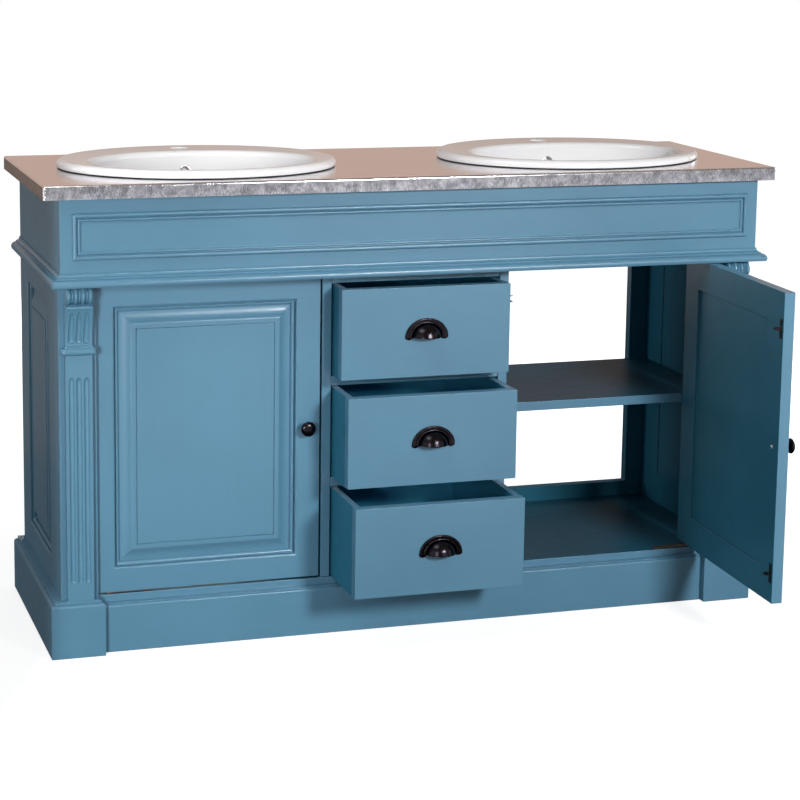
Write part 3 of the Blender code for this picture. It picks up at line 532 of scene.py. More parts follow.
class Finishes:
    """Every finish of the unit, built once."""

    def __init__(self) -> None:
        """Builds the materials."""
        self.paints: dict[tuple[Grain, Shelter], bpy.types.Material] = {}
        self.sheet = ZincSheet().material()
        self.china = GlazedChina().material()
        self.board = Fibreboard().material()
        metals = (
            Metal("dark_bronze", (0.023, 0.020, 0.025), change=0.35, roughness=(0.18, 0.25)),
            Metal("red_brass", (0.46, 0.23, 0.13), change=0.25, roughness=(0.28, 0.42)),
            Metal("black_iron", (0.022, 0.021, 0.022), change=0.4, roughness=(0.38, 0.52)),
            Metal("bright_chrome", (0.78, 0.79, 0.80), change=0.04, roughness=(0.07, 0.12)),
            Metal("black_rubber", (0.012, 0.012, 0.013), 0.3, roughness=(0.6, 0.75), metallic=0.0),
            Metal("zinc_screw", (0.62, 0.62, 0.60), change=0.12, roughness=(0.24, 0.36)),
        )
        built = [metal.material() for metal in metals]
        self.bronze, self.brass, self.iron, self.chrome, self.rubber, self.steel = built

    def paint(self, grain: Grain, shelter: Shelter = Shelter.OPEN) -> bpy.types.Material:
        """The paint along a grain, with painted shade on a piece's indoor faces.

        Args:
            grain: The way of the brush.
            shelter: Which faces are indoors.

        Returns:
            The paint, which pieces alike share.
        """
        if (grain, shelter) not in self.paints:
            self.paints[grain, shelter] = SatinPaint(grain, shelter).material()
        return self.paints[grain, shelter]


def make_piece(name: str, bm: bmesh.types.BMesh, material: bpy.types.Material) -> bpy.types.Object:
    """Turns a bmesh into an object with outward faces, smooth but for its crisp edges.

    Args:
        name: The piece's name.
        bm: The mesh, which is used up.
        material: Its finish.

    Returns:
        The new object.
    """
    bmesh.ops.remove_doubles(bm, verts=bm.verts, dist=1e-6)
    bmesh.ops.recalc_face_normals(bm, faces=bm.faces)
    mesh = bpy.data.meshes.new(name)
    bm.to_mesh(mesh)
    bm.free()
    mesh.materials.append(material)
    piece = bpy.data.objects.new(name, mesh)
    bpy.context.scene.collection.objects.link(piece)
    smooth(piece)
    return piece


def smooth(piece: bpy.types.Object) -> None:
    """Shades a piece smooth, with crisp edges where it turns sharply or is marked as mitred.

    Args:
        piece: The piece.
    """
    mesh = piece.data
    mitres = [edge.index for edge in mesh.edges if edge.use_edge_sharp]
    mesh.shade_smooth()
    mesh.set_sharp_from_angle(angle=CRISP_ANGLE)
    for index in mitres:
        mesh.edges[index].use_edge_sharp = True


def loft(
    rings: Sequence[Sequence[Vector]], closed: bool = False, mitred: bool = False
) -> bmesh.types.BMesh:
    """A skin through rings of points.

    Args:
        rings: Rings with the same number of points.
        closed: Whether the last ring joins the first; otherwise both ends are capped.
        mitred: Whether the lines from ring to ring stay crisp.

    Returns:
        The skin.
    """
    bm = bmesh.new()
    loops = [[bm.verts.new(point) for point in ring] for ring in rings]
    following = loops[1:] + loops[:1] if closed else loops[1:]
    for near, far in zip(loops, following):
        for first in range(len(near)):
            second = (first + 1) % len(near)
            bm.faces.new((near[first], near[second], far[second], far[first]))
            if mitred:
                bm.edges.get((near[first], far[first])).smooth = False
    if not closed:
        bm.faces.new(loops[0])
        bm.faces.new(loops[-1])
    return bm


def turned(profile: Sequence[Flat], steps: int, hollow: bool = False) -> bmesh.types.BMesh:
    """A profile turned about local Z.

    Args:
        profile: Its (radius, height) points.
        steps: The number of steps round.
        hollow: Whether the profile is closed, as a ring's; otherwise both ends are capped.

    Returns:
        The turned solid.
    """
    angles = [math.tau * step / steps for step in range(steps)]
    rings = [
        [Vector((radius * math.cos(a), radius * math.sin(a), height)) for a in angles]
        for radius, height in profile
    ]
    return loft(rings, closed=hollow)


def arc(centre: Flat, radii: Flat, start_deg: float, end_deg: float, steps: int) -> list[Flat]:
    """Points along an elliptical arc, both ends included.

    Args:
        centre: The ellipse's middle.
        radii: Its half sizes.
        start_deg: The first point's angle.
        end_deg: The last point's angle.
        steps: The number of steps between them.

    Returns:
        The points.
    """
    sweep = end_deg - start_deg
    angles = [math.radians(start_deg + sweep * step / steps) for step in range(steps + 1)]
    return [(centre[0] + radii[0] * math.cos(a), centre[1] + radii[1] * math.sin(a)) for a in angles]


def flowing(points: Sequence[Flat], steps: int) -> list[Flat]:
    """A smooth curve through points.

    Args:
        points: The points to pass through.
        steps: How many steps to take between one point and the next.

    Returns:
        Points along the curve, both ends included.
    """
    ends = [points[0], *points, points[-1]]
    curve = []
    for before, start, end, after in zip(ends, ends[1:], ends[2:], ends[3:]):
        for step in range(steps):
            t = step / steps
            weights = (
                (-t + 2 * t**2 - t**3) / 2,
                (2 - 5 * t**2 + 3 * t**3) / 2,
                (t + 4 * t**2 - 3 * t**3) / 2,
                (-(t**2) + t**3) / 2,
            )
            corners = (before, start, end, after)
            curve.append(tuple(sum(w * c[axis] for w, c in zip(weights, corners)) for axis in (0, 1)))
    return curve + [points[-1]]


def rectangle(low: Flat, high: Flat, inset: float = 0.0) -> list[Flat]:
    """Corners of a rectangle, drawn in by an inset.

    Args:
        low: Its lowest corner.
        high: Its highest corner.
        inset: How far it is drawn in.

    Returns:
        The four corners, in turn.
    """
    left, bottom = low[0] + inset, low[1] + inset
    right, top = high[0] - inset, high[1] - inset
    return [(left, bottom), (right, bottom), (right, top), (left, top)]


def rounded_block(low: Vector, high: Vector, radius: float, flat_base: bool) -> bmesh.types.BMesh:
    """A block with rounded edges.

    Args:
        low: Its lowest corner.
        high: Its highest corner.
        radius: The rounding.
        flat_base: Whether the edges round its base stay square.

    Returns:
        The block.
    """
    bm = bmesh.new()
    bmesh.ops.create_cube(bm, size=1.0)
    middle = Matrix.Translation((low + high) / 2)
    bmesh.ops.transform(bm, matrix=middle @ Matrix.Diagonal((*(high - low), 1.0)), verts=bm.verts)
    edges = [e for e in bm.edges if not flat_base or any(v.co.z > low.z + radius for v in e.verts)]
    bmesh.ops.bevel(bm, geom=edges, offset=radius, segments=4, profile=0.5, affect="EDGES")
    return bm


def carve(piece: bpy.types.Object, tool: bpy.types.Object, carving: Carving = Carving.CUT) -> None:
    """Cuts a tool from a piece, or joins it on, and uses the tool up.

    Args:
        piece: The piece to change.
        tool: The other solid.
        carving: What is done with it.
    """
    cut = piece.modifiers.new("carve", "BOOLEAN")
    cut.operation = carving.value
    cut.solver = "EXACT"
    cut.object = tool
    graph = bpy.context.evaluated_depsgraph_get()
    carved = bpy.data.meshes.new_from_object(piece.evaluated_get(graph))
    piece.modifiers.remove(cut)
    old = piece.data
    piece.data = carved
    bpy.data.meshes.remove(old)
    bpy.data.meshes.remove(tool.data)
    smooth(piece)


def soften(piece: bpy.types.Object, width: float) -> None:
    """Rounds a piece's crisp edges by a width, so that they catch the light.

    Args:
        piece: The piece.
        width: The width of the rounding.
    """
    bevel = piece.modifiers.new("soft_edges", "BEVEL")
    bevel.width = width
    bevel.segments = 2
    bevel.limit_method = "ANGLE"
    bevel.angle_limit = CRISP_ANGLE
    bevel.harden_normals = True


def dress_node(frame: dict, name: str, material: bpy.types.Material, edge: float) -> None:
    """Gives a CAD node its finish, and softens its edges without touching its mesh.

    Args:
        name: The node's name.
        material: Its finish.
        edge: How far its edges are rounded.
    """
    node = frame["nodes"][name]
    node.data.materials.clear()
    node.data.materials.append(material)
    weld = node.modifiers.new("weld", "WELD")
    weld.merge_threshold = 1e-5
    soften(node, edge)
    LOG.info("%s: CAD node, %s", name, material.name)


def mount(piece: bpy.types.Object, body: str, slot: Slot | None, *nodes: str) -> bpy.types.Object:
    """Sets a finished piece on its body.

    Args:
        piece: The piece, in its place.
        body: The CAD body that it moves with.
        slot: The record's slot for its finish, if it has one; not used.
        nodes: The CAD nodes that it stands for.

    Returns:
        The piece.
    """
    even = piece.modifiers.new("even_shading", "WEIGHTED_NORMAL")
    even.keep_sharp = True
    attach(piece, body)
    if nodes:
        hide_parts(*nodes)
    LOG.info("%s: on %s, %d points", piece.name, body, len(piece.data.vertices))
    return piece


def shut_to_rest(joint: dict) -> Matrix:
    """The move that carries a hinged body from shut, its lower limit, to where the frame rests.

    Args:
        joint: The hinge, as the frame gives it.

    Returns:
        The move.
    """
    pivot = Matrix.Translation(joint["pos_m"])
    turn = Matrix.Rotation(math.radians(-joint["range_deg"][0]), 4, Vector(joint["axis"]))
    return pivot @ turn @ pivot.inverted()


@dataclass
class Worktop:
    """The sheet folded over its board, with a hole for each basin."""

    frame: dict
    finishes: Finishes
    sheet: float = 0.0008
    fold_radius: float = 0.0040
    basin_overhang: float = 0.0128
    hole_steps: int = 96
    board_edge: float = 0.001

    def hole(self, side: Side) -> bpy.types.Object:
        """A tall oval plug where a basin drops in.

        Args:
            side: The basin's side.

        Returns:
            The plug.
        """
        low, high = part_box(side.word + "_basin")
        middle = (low + high) / 2
        half_width = (high.x - low.x) / 2 - self.basin_overhang
        half_depth = (high.y - low.y) / 2 - self.basin_overhang
        outline = arc((middle.x, middle.y), (half_width, half_depth), 0, 360, self.hole_steps)[:-1]
        rings = [[Vector((x, y, z)) for x, y in outline] for z in (low.z, high.z)]
        return make_piece("hole", loft(rings), self.finishes.sheet)

    def build(self) -> None:
        """Builds the folded sheet and dresses the board under it."""
        low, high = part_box("worktop_cladding")
        cladding = make_piece(
            "worktop_sheet", rounded_block(low, high, self.fold_radius, True), self.finishes.sheet
        )
        skin = Vector((self.sheet, self.sheet, self.sheet))
        hollow_low = Vector((low.x, low.y, low.z - self.fold_radius * 2)) + skin
        hollow = rounded_block(hollow_low, high - skin, self.fold_radius - self.sheet, True)
        carve(cladding, make_piece("hollow", hollow, self.finishes.sheet))
        for side in Side:
            carve(cladding, self.hole(side))
        mount(cladding, "cabinet", Slot.SHEET, "worktop_cladding")
        dress_node(self.frame, "worktop_core", self.finishes.board, self.board_edge)


@dataclass
class Basin:
    """A drop-in basin: rolled rim, flat tap ledge, oval bowl, overflow and drain."""

    finishes: Finishes
    side: Side
    bowl_rim_side: float = 0.054
    bowl_rim_front: float = 0.025
    tap_ledge: float = 0.110
    bowl_fall: float = 0.150
    bowl_wall: float = 0.010
    bowl_fullness: float = 0.6
    foot_inset: float = 0.0085
    joint: float = 0.0017
    seal_inset: float = 0.0030
    seal_clear: float = 0.001
    edge_width: float = 0.0105
    edge_middle: float = 0.34
    edge_start_deg: float = -31.0
    shoulder_width: float = 0.0105
    shoulder_drop: float = 0.0078
    ledge: float = 0.0016
    drain_radius: float = 0.0225
    drain_seat: tuple[Flat, ...] = ((0.008, 0.0), (0.006, 0.003), (0.0, 0.0035))
    drain_boss: float = 0.012
    tap_hole_radius: float = 0.0175
    tap_hole_flare: float = 0.002
    tap_hole_reach: Flat = (-0.03, 0.01)
    tap_hole_from_rear: float = 0.062
    overflow_drop: float = 0.029
    overflow_radius: float = 0.0105
    overflow_bore: float = 0.7
    overflow_reach: Flat = (-0.008, 0.02)
    ring_depth: float = 0.0024
    ring_clear: float = 0.0006
    ring_tail: float = -0.006
    ring_foot: float = -0.0008
    steps: int = 112

    def __post_init__(self) -> None:
        """Takes the basin's place from the frame."""
        low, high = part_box(self.side.word + "_basin")
        self.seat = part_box("worktop_cladding")[1].z + SEAT_GAP
        self.top = high.z
        self.rear = high.y
        self.middle = Vector(((low.x + high.x) / 2, (low.y + high.y) / 2))
        self.half = Vector(((high.x - low.x) / 2, (high.y - low.y) / 2))
        self.bowl_middle = self.middle + Vector((0.0, (self.bowl_rim_front - self.tap_ledge) / 2))
        rim_depth = (self.bowl_rim_front + self.tap_ledge) / 2
        self.bowl_half = self.half - Vector((self.bowl_rim_side, rim_depth))
        self.mouth = self.top - self.shoulder_drop

    def oval(self, middle: Vector, half: Vector, height: float) -> list[Vector]:
        """A level oval ring."""
        outline = arc(middle, half, 0, 360, self.steps)[:-1]
        return [Vector((x, y, height)) for x, y in outline]

    def grown(self, middle: Vector, half: Vector, outwards: float, height: float) -> list[Vector]:
        """A level oval ring, moved outwards from a given oval."""
        return self.oval(middle, half + Vector((outwards, outwards)), height)

    def bowl_section(self, fall: float, steps: int) -> list[Flat]:
        """The bowl's section, from its mouth down.

        Args:
            fall: How far it falls.
            steps: The number of steps down.

        Returns:
            The share of the mouth's size and the drop, for each step.
        """
        angles = [math.pi / 2 * step / steps for step in range(steps)]
        return [(math.cos(a) ** self.bowl_fullness, fall * math.sin(a)) for a in angles]

    def rim(self) -> Rings:
        """Rings from the foot of the rim, over its rolled edge and flat top, to the bowl's mouth.

        Returns:
            The rings, in order.
        """
        base = self.seat + self.joint
        foot = -self.foot_inset
        rings = [self.grown(self.middle, self.half, foot, height) for height in (self.seat, base)]
        radii = (self.edge_width, 1 - self.edge_middle)
        roll = arc((-self.edge_width, self.edge_middle), radii, self.edge_start_deg, 90, 14)
        for outwards, share in roll:
            rings.append(self.grown(self.middle, self.half, outwards, base + share * (self.top - base)))
        lip = self.half - Vector((self.edge_width, self.edge_width))
        mouth_lip = self.bowl_half + Vector((self.shoulder_width, self.shoulder_width))
        for share in (0.33, 0.67):
            middle = self.middle.lerp(self.bowl_middle, share)
            rings.append(self.oval(middle, lip.lerp(mouth_lip, share), self.top))
        for outwards, share in arc((self.shoulder_width, 0.0), (self.shoulder_width, 1.0), 90, 180, 8):
            height = self.mouth + share * self.shoulder_drop
            rings.append(self.grown(self.bowl_middle, self.bowl_half, outwards, height))
        return rings

    def inside(self) -> Rings:
        """Rings from under the shoulder's small ledge down to the drain.

        Returns:
            The rings, in order.
        """
        start = self.mouth - self.ledge
        half = self.bowl_half - Vector((self.ledge, self.ledge))
        rings = []
        for share, drop in self.bowl_section(self.bowl_fall - self.ledge, 22):
            rings.append(self.oval(self.bowl_middle, half * share, start - drop))
        floor = self.mouth - self.bowl_fall
        for outwards, drop in self.drain_seat:
            radius = self.drain_radius + outwards
            rings.append(self.oval(self.bowl_middle, Vector((radius, radius)), floor - drop))
        return rings

    def outside(self) -> Rings:
        """Rings from the drain's boss up the outside of the bowl to the rim's underside.

        Returns:
            The rings, in order.
        """
        boss_bottom = self.mouth - self.bowl_fall - self.drain_boss - self.bowl_wall
        boss_radius = self.drain_radius + self.bowl_wall
        rings = []
        for radius in (self.drain_radius, boss_radius):
            rings.append(self.oval(self.bowl_middle, Vector((radius, radius)), boss_bottom))
        half = self.bowl_half + Vector((self.bowl_wall, self.bowl_wall))
        fall = self.bowl_fall + self.bowl_wall + self.seat - self.mouth
        boss = Vector((boss_radius, boss_radius))
        rings.append(self.oval(self.bowl_middle, boss, self.seat - fall))
        for share, drop in reversed(self.bowl_section(fall, 14)):
            rings.append(self.oval(self.bowl_middle, half * share, self.seat - drop))
        return rings

    def overflow_place(self) -> Matrix:
        """Where the overflow sits on the bowl's rear wall, with local Z out of the china.

        Returns:
            The place, as a matrix.
        """
        drop = self.overflow_drop - self.ledge
        angle = math.asin(drop / (self.bowl_fall - self.ledge))
        depth = self.bowl_half.y - self.ledge
        share = math.cos(angle) ** self.bowl_fullness
        slope = depth * self.bowl_fullness * share * math.tan(angle) / math.cos(angle)
        lean = math.atan2(slope, self.bowl_fall)
        y, z = self.bowl_middle.y + depth * share, self.mouth - self.overflow_drop
        turn = Matrix.Rotation(math.pi / 2 - lean, 4, "X")
        return Matrix.Translation((self.bowl_middle.x, y, z)) @ turn

    def seal(self) -> bpy.types.Object:
        """The dark strip that beds the rim on the sheet, and also painted shade: it darkens the shadow
        line under the rim.

        Returns:
            The strip.
        """
        low, high = self.seat - SEAT_GAP / 2, self.seat + self.joint - SEAT_GAP
        middle, half = (low + high) / 2, (high - low) / 2
        section = arc((-self.seal_inset - half, middle), (half, half), -90, 90, 6)
        foot = SEAT_GAP - self.foot_inset + self.seal_clear
        section += [(foot, high), (foot, low)]
        rings = [self.grown(self.middle, self.half, outwards, height) for outwards, height in section]
        return make_piece(self.side.word + "_basin_seal", loft(rings, closed=True), self.finishes.rubber)

    def drill(self, name: str, section: Sequence[Flat], steps: int) -> bpy.types.Object:
        """A turned tool that cuts a hole."""
        return make_piece(name, turned(section, steps), self.finishes.china)

    def tap_hole(self) -> bpy.types.Object:
        """The tool for the tap hole, in its place, with an eased edge at the ledge.

        Returns:
            The tool.
        """
        radius, flare = self.tap_hole_radius, self.tap_hole_flare
        bottom, top = self.tap_hole_reach
        section = [(radius, bottom), (radius, -flare)]
        section += arc((radius + flare, -flare), (flare, flare), 180, 90, 4)
        tool = self.drill("tap_hole", [*section, (radius + flare, top)], steps=48)
        tool.location = (self.middle.x, self.rear - self.tap_hole_from_rear, self.top)
        return tool

    def overflow_ring(self, bore: float) -> bpy.types.Object:
        """The bright ring round the overflow, whose hole has a given radius.

        Args:
            bore: The hole's radius.

        Returns:
            The ring, round local Z.
        """
        outer, depth = self.overflow_radius, self.ring_depth
        inner = bore - self.ring_clear
        section = [(inner, self.ring_tail), (inner, depth * 0.6)]
        section += arc(((bore + outer) / 2, depth * 0.5), ((outer - bore) / 2, depth / 2), 160, 0, 8)
        section.append((outer, self.ring_foot))
        name = self.side.word + "_overflow_ring"
        return make_piece(name, turned(section, steps=48, hollow=True), self.finishes.chrome)

    def build(self) -> None:
        """Builds the basin, then drills its tap hole and overflow and fits the overflow's ring."""
        name = self.side.word + "_basin_china"
        rings = self.rim() + self.inside() + self.outside()
        basin = make_piece(name, loft(rings, closed=True), self.finishes.china)
        carve(basin, self.tap_hole())
        place = self.overflow_place()
        bore = self.overflow_bore * self.overflow_radius
        tool = self.drill("overflow", [(bore, reach) for reach in self.overflow_reach], steps=32)
        tool.matrix_world = place
        carve(basin, tool)
        mount(basin, "cabinet", Slot.CHINA, self.side.word + "_basin")
        # The seal's dark strip also stands in for the shadow line under the rim.
        mount(self.seal(), "cabinet", None)
        ring = self.overflow_ring(bore)
        ring.matrix_world = place
        mount(ring, "cabinet", None)


@dataclass(frozen=True)
class PanelSection:
    """The moulded edge of a panelled frame and the raised panel in it, from the edge inwards."""

    round_width: float = 0.0046
    round_depth: float = 0.0030
    quirk_depth: float = 0.0082
    bead_start: float = 0.0074
    bead_top: float = 0.0042
    bead_foot: float = 0.0006
    quirk_ease: float = 0.0003
    sticking: float = 0.0132
    back_edge: float = 0.0165
    groove: float = 0.008
    tongue: float = 0.0074
    depth: float = 0.0098
    cove_end: float = 0.0336
    cove_top: float = 0.0034
    cove_start_share: float = 0.12
    cove_power: float = 2.3
    crest_end: float = 0.0374
    fillet_depth: float = 0.0022
    fillet_end: float = 0.0438
    line_depth: float = 0.0036
    field_edge: float = 0.0462
    field_depth: float = 0.0010
    field_ease: float = 0.0004

    def frame_profile(self, thickness: float) -> list[Flat]:
        """The frame's inner edge, as (inset, depth) from the front face to the back face.

        Args:
            thickness: The frame's thickness.

        Returns:
            The points, in order.
        """
        groove_front = self.depth + SEAT_GAP
        groove_back = groove_front + self.tongue + 2 * SEAT_GAP
        floor = self.sticking - self.groove
        edge = arc((0.0, self.round_depth), (self.round_width, self.round_depth), -90, 0, 8)
        foot = self.depth - self.bead_foot
        radii = (self.sticking - self.bead_start, foot - self.bead_top)
        bead = arc((self.bead_start, foot), radii, -90, 0, 7)
        return [
            *edge,
            (self.round_width + self.quirk_ease, self.quirk_depth),
            (self.bead_start - self.quirk_ease, self.quirk_depth),
            *bead,
            (self.sticking, groove_front),
            (floor, groove_front),
            (floor, groove_back),
            (self.back_edge, groove_back),
            (self.back_edge, thickness),
        ]

    def panel_profile(self) -> list[Flat]:
        """The panel's edge, as (inset, depth) from the back of its tongue to its field.

        Returns:
            The points, in order.
        """
        front = self.depth + 2 * SEAT_GAP
        edge = self.sticking - self.groove + SEAT_GAP
        start = self.sticking + 2 * SEAT_GAP
        profile = [(edge, front + self.tongue), (edge, front), (start, front)]
        steps = 14
        for step in range(1, steps + 1):
            t = step / steps
            climb = self.cove_start_share * t + (1 - self.cove_start_share) * t**self.cove_power
            inset = start + (self.cove_end - start) * t
            profile.append((inset, front - (front - self.cove_top) * climb))
        for t in (0.25, 0.5, 0.75, 1.0):
            inset = self.cove_end + (self.crest_end - self.cove_end) * t
            climb = (self.cove_top - self.fillet_depth) * (2 * t - t * t)
            profile.append((inset, self.cove_top - climb))
        line = (self.field_edge - self.fillet_end) / 4
        return [
            *profile,
            (self.fillet_end, self.fillet_depth),
            (self.fillet_end + line, self.line_depth),
            (self.fillet_end + 2 * line, self.line_depth),
            (self.field_edge - line, self.field_depth + self.field_ease),
            (self.field_edge, self.field_depth),
        ]


@dataclass
class Panelling:
    """A frame with a raised panel in it, drawn flat and set in place by a matrix."""

    finishes: Finishes
    section: PanelSection
    outer: tuple[Flat, Flat]
    opening: tuple[Flat, Flat]
    thickness: float
    # Which faces of the frame and panel get painted shade.
    shelter: Shelter
    arris: float = 0.0005

    def rings(self, profile: Sequence[Flat], place: Matrix) -> Rings:
        """Rings round the opening, one for each point of a profile.

        Args:
            profile: Points of (inset, depth).
            place: Where the drawing goes.

        Returns:
            The rings, in order.
        """
        return [
            [place @ Vector((u, depth, v)) for u, v in rectangle(*self.opening, inset)]
            for inset, depth in profile
        ]

    def build(
        self, frame_name: str, panel_name: str, place: Matrix
    ) -> tuple[bpy.types.Object, bpy.types.Object]:
        """Builds both pieces.

        Args:
            frame_name: The frame's name.
            panel_name: The panel's name.
            place: Where the drawing's u, depth and v go.

        Returns:
            The frame and the panel.
        """
        face = [place @ Vector((u, 0.0, v)) for u, v in rectangle(*self.outer)]
        back = [place @ Vector((u, self.thickness, v)) for u, v in rectangle(*self.outer)]
        rings = [face, *self.rings(self.section.frame_profile(self.thickness), place), back]
        paint = self.finishes.paint(Grain.ALONG_Z, self.shelter)
        frame = make_piece(frame_name, loft(rings, closed=True, mitred=True), paint)
        rings = self.rings(self.section.panel_profile(), place)
        panel = make_piece(panel_name, loft(rings, mitred=True), paint)
        soften(frame, self.arris)
        return frame, panel


@dataclass
class CabinetSide:
    """A side frame with its raised panel."""

    finishes: Finishes
    side: Side
    front_stile: float = 0.0851
    rear_stile: float = 0.081
    bottom_rail: float = 0.047
    top_rail: float = 0.0498

    def build(self) -> None:
        """Builds the frame and the panel."""
        word = self.side.word
        low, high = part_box(word + "_side_frame")
        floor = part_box("bottom_board")[1].z
        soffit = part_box("front_cross_rail")[0].z
        outer = ((low.y, low.z), (high.y, high.z))
        opening = (
            (low.y + self.front_stile, floor + self.bottom_rail),
            (high.y - self.rear_stile, soffit - self.top_rail),
        )
        face = low.x if self.side is Side.LEFT else high.x
        inwards = -self.side.value
        place = Matrix(((0, inwards, 0, face), (1, 0, 0, 0), (0, 0, 1, 0), (0, 0, 0, 1)))
        # The side's inner faces get painted shade.
        shelter = Shelter.LEFT_SIDE if self.side is Side.LEFT else Shelter.RIGHT_SIDE
        panelling = Panelling(self.finishes, PanelSection(), outer, opening, high.x - low.x, shelter)
        frame, panel = panelling.build(word + "_side_framing", word + "_side_raised_panel", place)
        mount(frame, "cabinet", Slot.PAINT, word + "_side_frame")
        mount(panel, "cabinet", Slot.PAINT, word + "_side_panel")


@dataclass
class Pilaster:
    """A fluted pilaster: shaft, cross bead, flared neck with lancet flutes and a reeded roll."""

    finishes: Finishes
    side: Side
    width: float = 0.048
    thickness: float = 0.0135
    flute_count: int = 3
    flute_pitch: float = 0.0135
    flute_radius: float = 0.0050
    flute_depth: float = 0.0038
    lancet_depth: float = 0.0054
    flute_bottom: float = 0.0317
    flute_top: float = 0.0385
    capital_height: float = 0.1256
    bead_radius: float = 0.0078
    bead_end: float = 0.0050
    bead_clear: float = 0.0006
    block_share: float = 0.8
    block_edge: float = 0.0015
    fillet_radius: float = 0.0030
    fillet_end: float = 0.0015
    lip_radius: float = 0.0040
    lip_out: float = 0.0014
    lip_end: float = 0.0012
    neck_flare: float = 0.0145
    neck_lip: float = 0.005
    neck_margin: float = 0.007
    roll_radius: float = 0.0163
    roll_drop: float = 0.0335
    reed_depth: float = 0.0040
    wide_reed: float = 0.009
    narrow_reed: float = 0.004
    narrow_rise: float = 0.55
    reed_count: int = 4
    reed_steps: int = 9
    reed_fullness: float = 0.7
    flute_point: float = 2.2
    lancet_width: float = 1.2
    lancet_foot: float = 0.8
    lancet_lean: float = 0.78

    def __post_init__(self) -> None:
        """Takes the pilaster's place from the frame and works out its heights."""
        low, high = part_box(self.side.word + "_pilaster")
        self.paint = self.finishes.paint(Grain.ALONG_Z)
        self.middle = (low.x + high.x) / 2
        self.bead_half = (high.x - low.x) / 2
        self.back = high.y
        self.face = high.y + SEAT_GAP - self.thickness
        self.bottom = low.z
        self.top = high.z
        self.bead_bottom = self.top - self.capital_height
        self.neck_bottom = self.bead_bottom + 2 * self.bead_radius
        self.neck_top = self.top - self.roll_drop
        self.neck_height = self.neck_top - self.neck_lip - self.neck_bottom

    def bar(self, name: str, outline: Sequence[Flat], half: float) -> bpy.types.Object:
        """An outline in depth and height, drawn out across the pilaster.

        Args:
            name: The bar's name.
            outline: Points of (depth, height).
            half: Half the bar's length.

        Returns:
            The bar.
        """
        ends = (self.middle - half, self.middle + half)
        rings = [[Vector((x, y, z)) for y, z in outline] for x in ends]
        return make_piece(name, loft(rings), self.paint)

    def shaft(self, name: str) -> bpy.types.Object:
        """The shaft and the neck that flares out above it.

        Args:
            name: The shaft's name.

        Returns:
            The shaft.
        """
        flare = []
        steps = 10
        for step in range(steps + 1):
            t = step / steps
            flare.append((self.face - self.neck_flare * t * t, self.neck_bottom + self.neck_height * t))
        lip = self.face - self.neck_flare
        outline = [(self.back, self.bottom), (self.face, self.bottom), *flare]
        outline += [(lip, self.neck_top - self.lip_radius), (self.face, self.neck_top + self.neck_lip)]
        outline += [(self.face, self.top), (self.back, self.top)]
        return self.bar(name, outline, self.width / 2)

    def round_bar(self, half: float, radius: float, end: float, line: Flat) -> bpy.types.Object:
        """A bar across the pilaster with rounded ends.

        Args:
            half: Half its length.
            radius: Its radius.
            end: How long each rounded end is.
            line: The place of its middle line: how far back, and how high.

        Returns:
            The bar.
        """
        profile = arc((0.0, -half + end), (radius, end), -TIP_DEG, 0, 8)
        profile += arc((0.0, half - end), (radius, end), 0, TIP_DEG, 8)
        bar = make_piece("bar", turned(profile, steps=40), self.paint)
        bar.location = (self.middle, *line)
        bar.rotation_euler = (0.0, math.pi / 2, 0.0)
        return bar

    def crossings(self) -> list[bpy.types.Object]:
        """The cross bead, the block that carries it, the fillet over it and the neck's rolled lip.

        Returns:
            The solids to join to the shaft.
        """
        height = self.bead_bottom + self.bead_radius
        radius = self.bead_radius - self.bead_clear
        reach = self.bead_half - self.bead_end / 2
        rise = radius * self.block_share
        low = Vector((self.middle - reach, self.face - radius / 2, height - rise))
        high = Vector((self.middle + reach, self.back, height + rise))
        half = self.width / 2
        over = half + self.fillet_end
        lip_depth = self.face - self.neck_flare + self.lip_radius - self.lip_out
        lip = (lip_depth, self.neck_top - self.lip_radius)
        return [
            make_piece("block", rounded_block(low, high, self.block_edge, False), self.paint),
            self.round_bar(self.bead_half, radius, self.bead_end, (self.face, height)),
            self.round_bar(over, self.fillet_radius, self.fillet_end, (self.face, self.neck_bottom)),
            self.round_bar(half, self.lip_radius, self.lip_end, lip),
        ]

    def roll_profile(self) -> list[Flat]:
        """The roll's outline, as (radius, place along it): wide reeds with narrow ones between.

        Returns:
            The points, in order.
        """
        valley = self.roll_radius - self.reed_depth
        widths = [self.wide_reed, self.narrow_reed] * (self.reed_count - 1) + [self.wide_reed]
        start = -sum(widths) / 2
        profile = []
        for width in widths:
            rise = self.reed_depth if width == self.wide_reed else self.narrow_rise * self.reed_depth
            for step in range(self.reed_steps):
                t = step / self.reed_steps
                swell = math.sin(math.pi * t) ** self.reed_fullness
                profile.append((valley + rise * swell, start + width * t))
            start += width
        return [*profile, (valley, start)]

    def roll(self) -> bpy.types.Object:
        """The reeded roll under the waist moulding.

        Returns:
            The roll, in its place.
        """
        roll = make_piece("roll", turned(self.roll_profile(), steps=48), self.paint)
        depth = self.back - self.roll_radius - self.reed_depth / 2
        roll.location = (self.middle, depth, self.top - self.roll_radius)
        roll.rotation_euler = (0.0, math.pi / 2, 0.0)
        return roll

    def groove(self, radii: Sequence[Flat], place: Matrix) -> bpy.types.Object:
        """A round cutting tool along local Z, from its (radius, place) points.

        Args:
            radii: The points.
            place: Where it goes.

        Returns:
            The tool.
        """
        tool = make_piece("groove", turned(radii, steps=24), self.paint)
        tool.matrix_world = place
        return tool

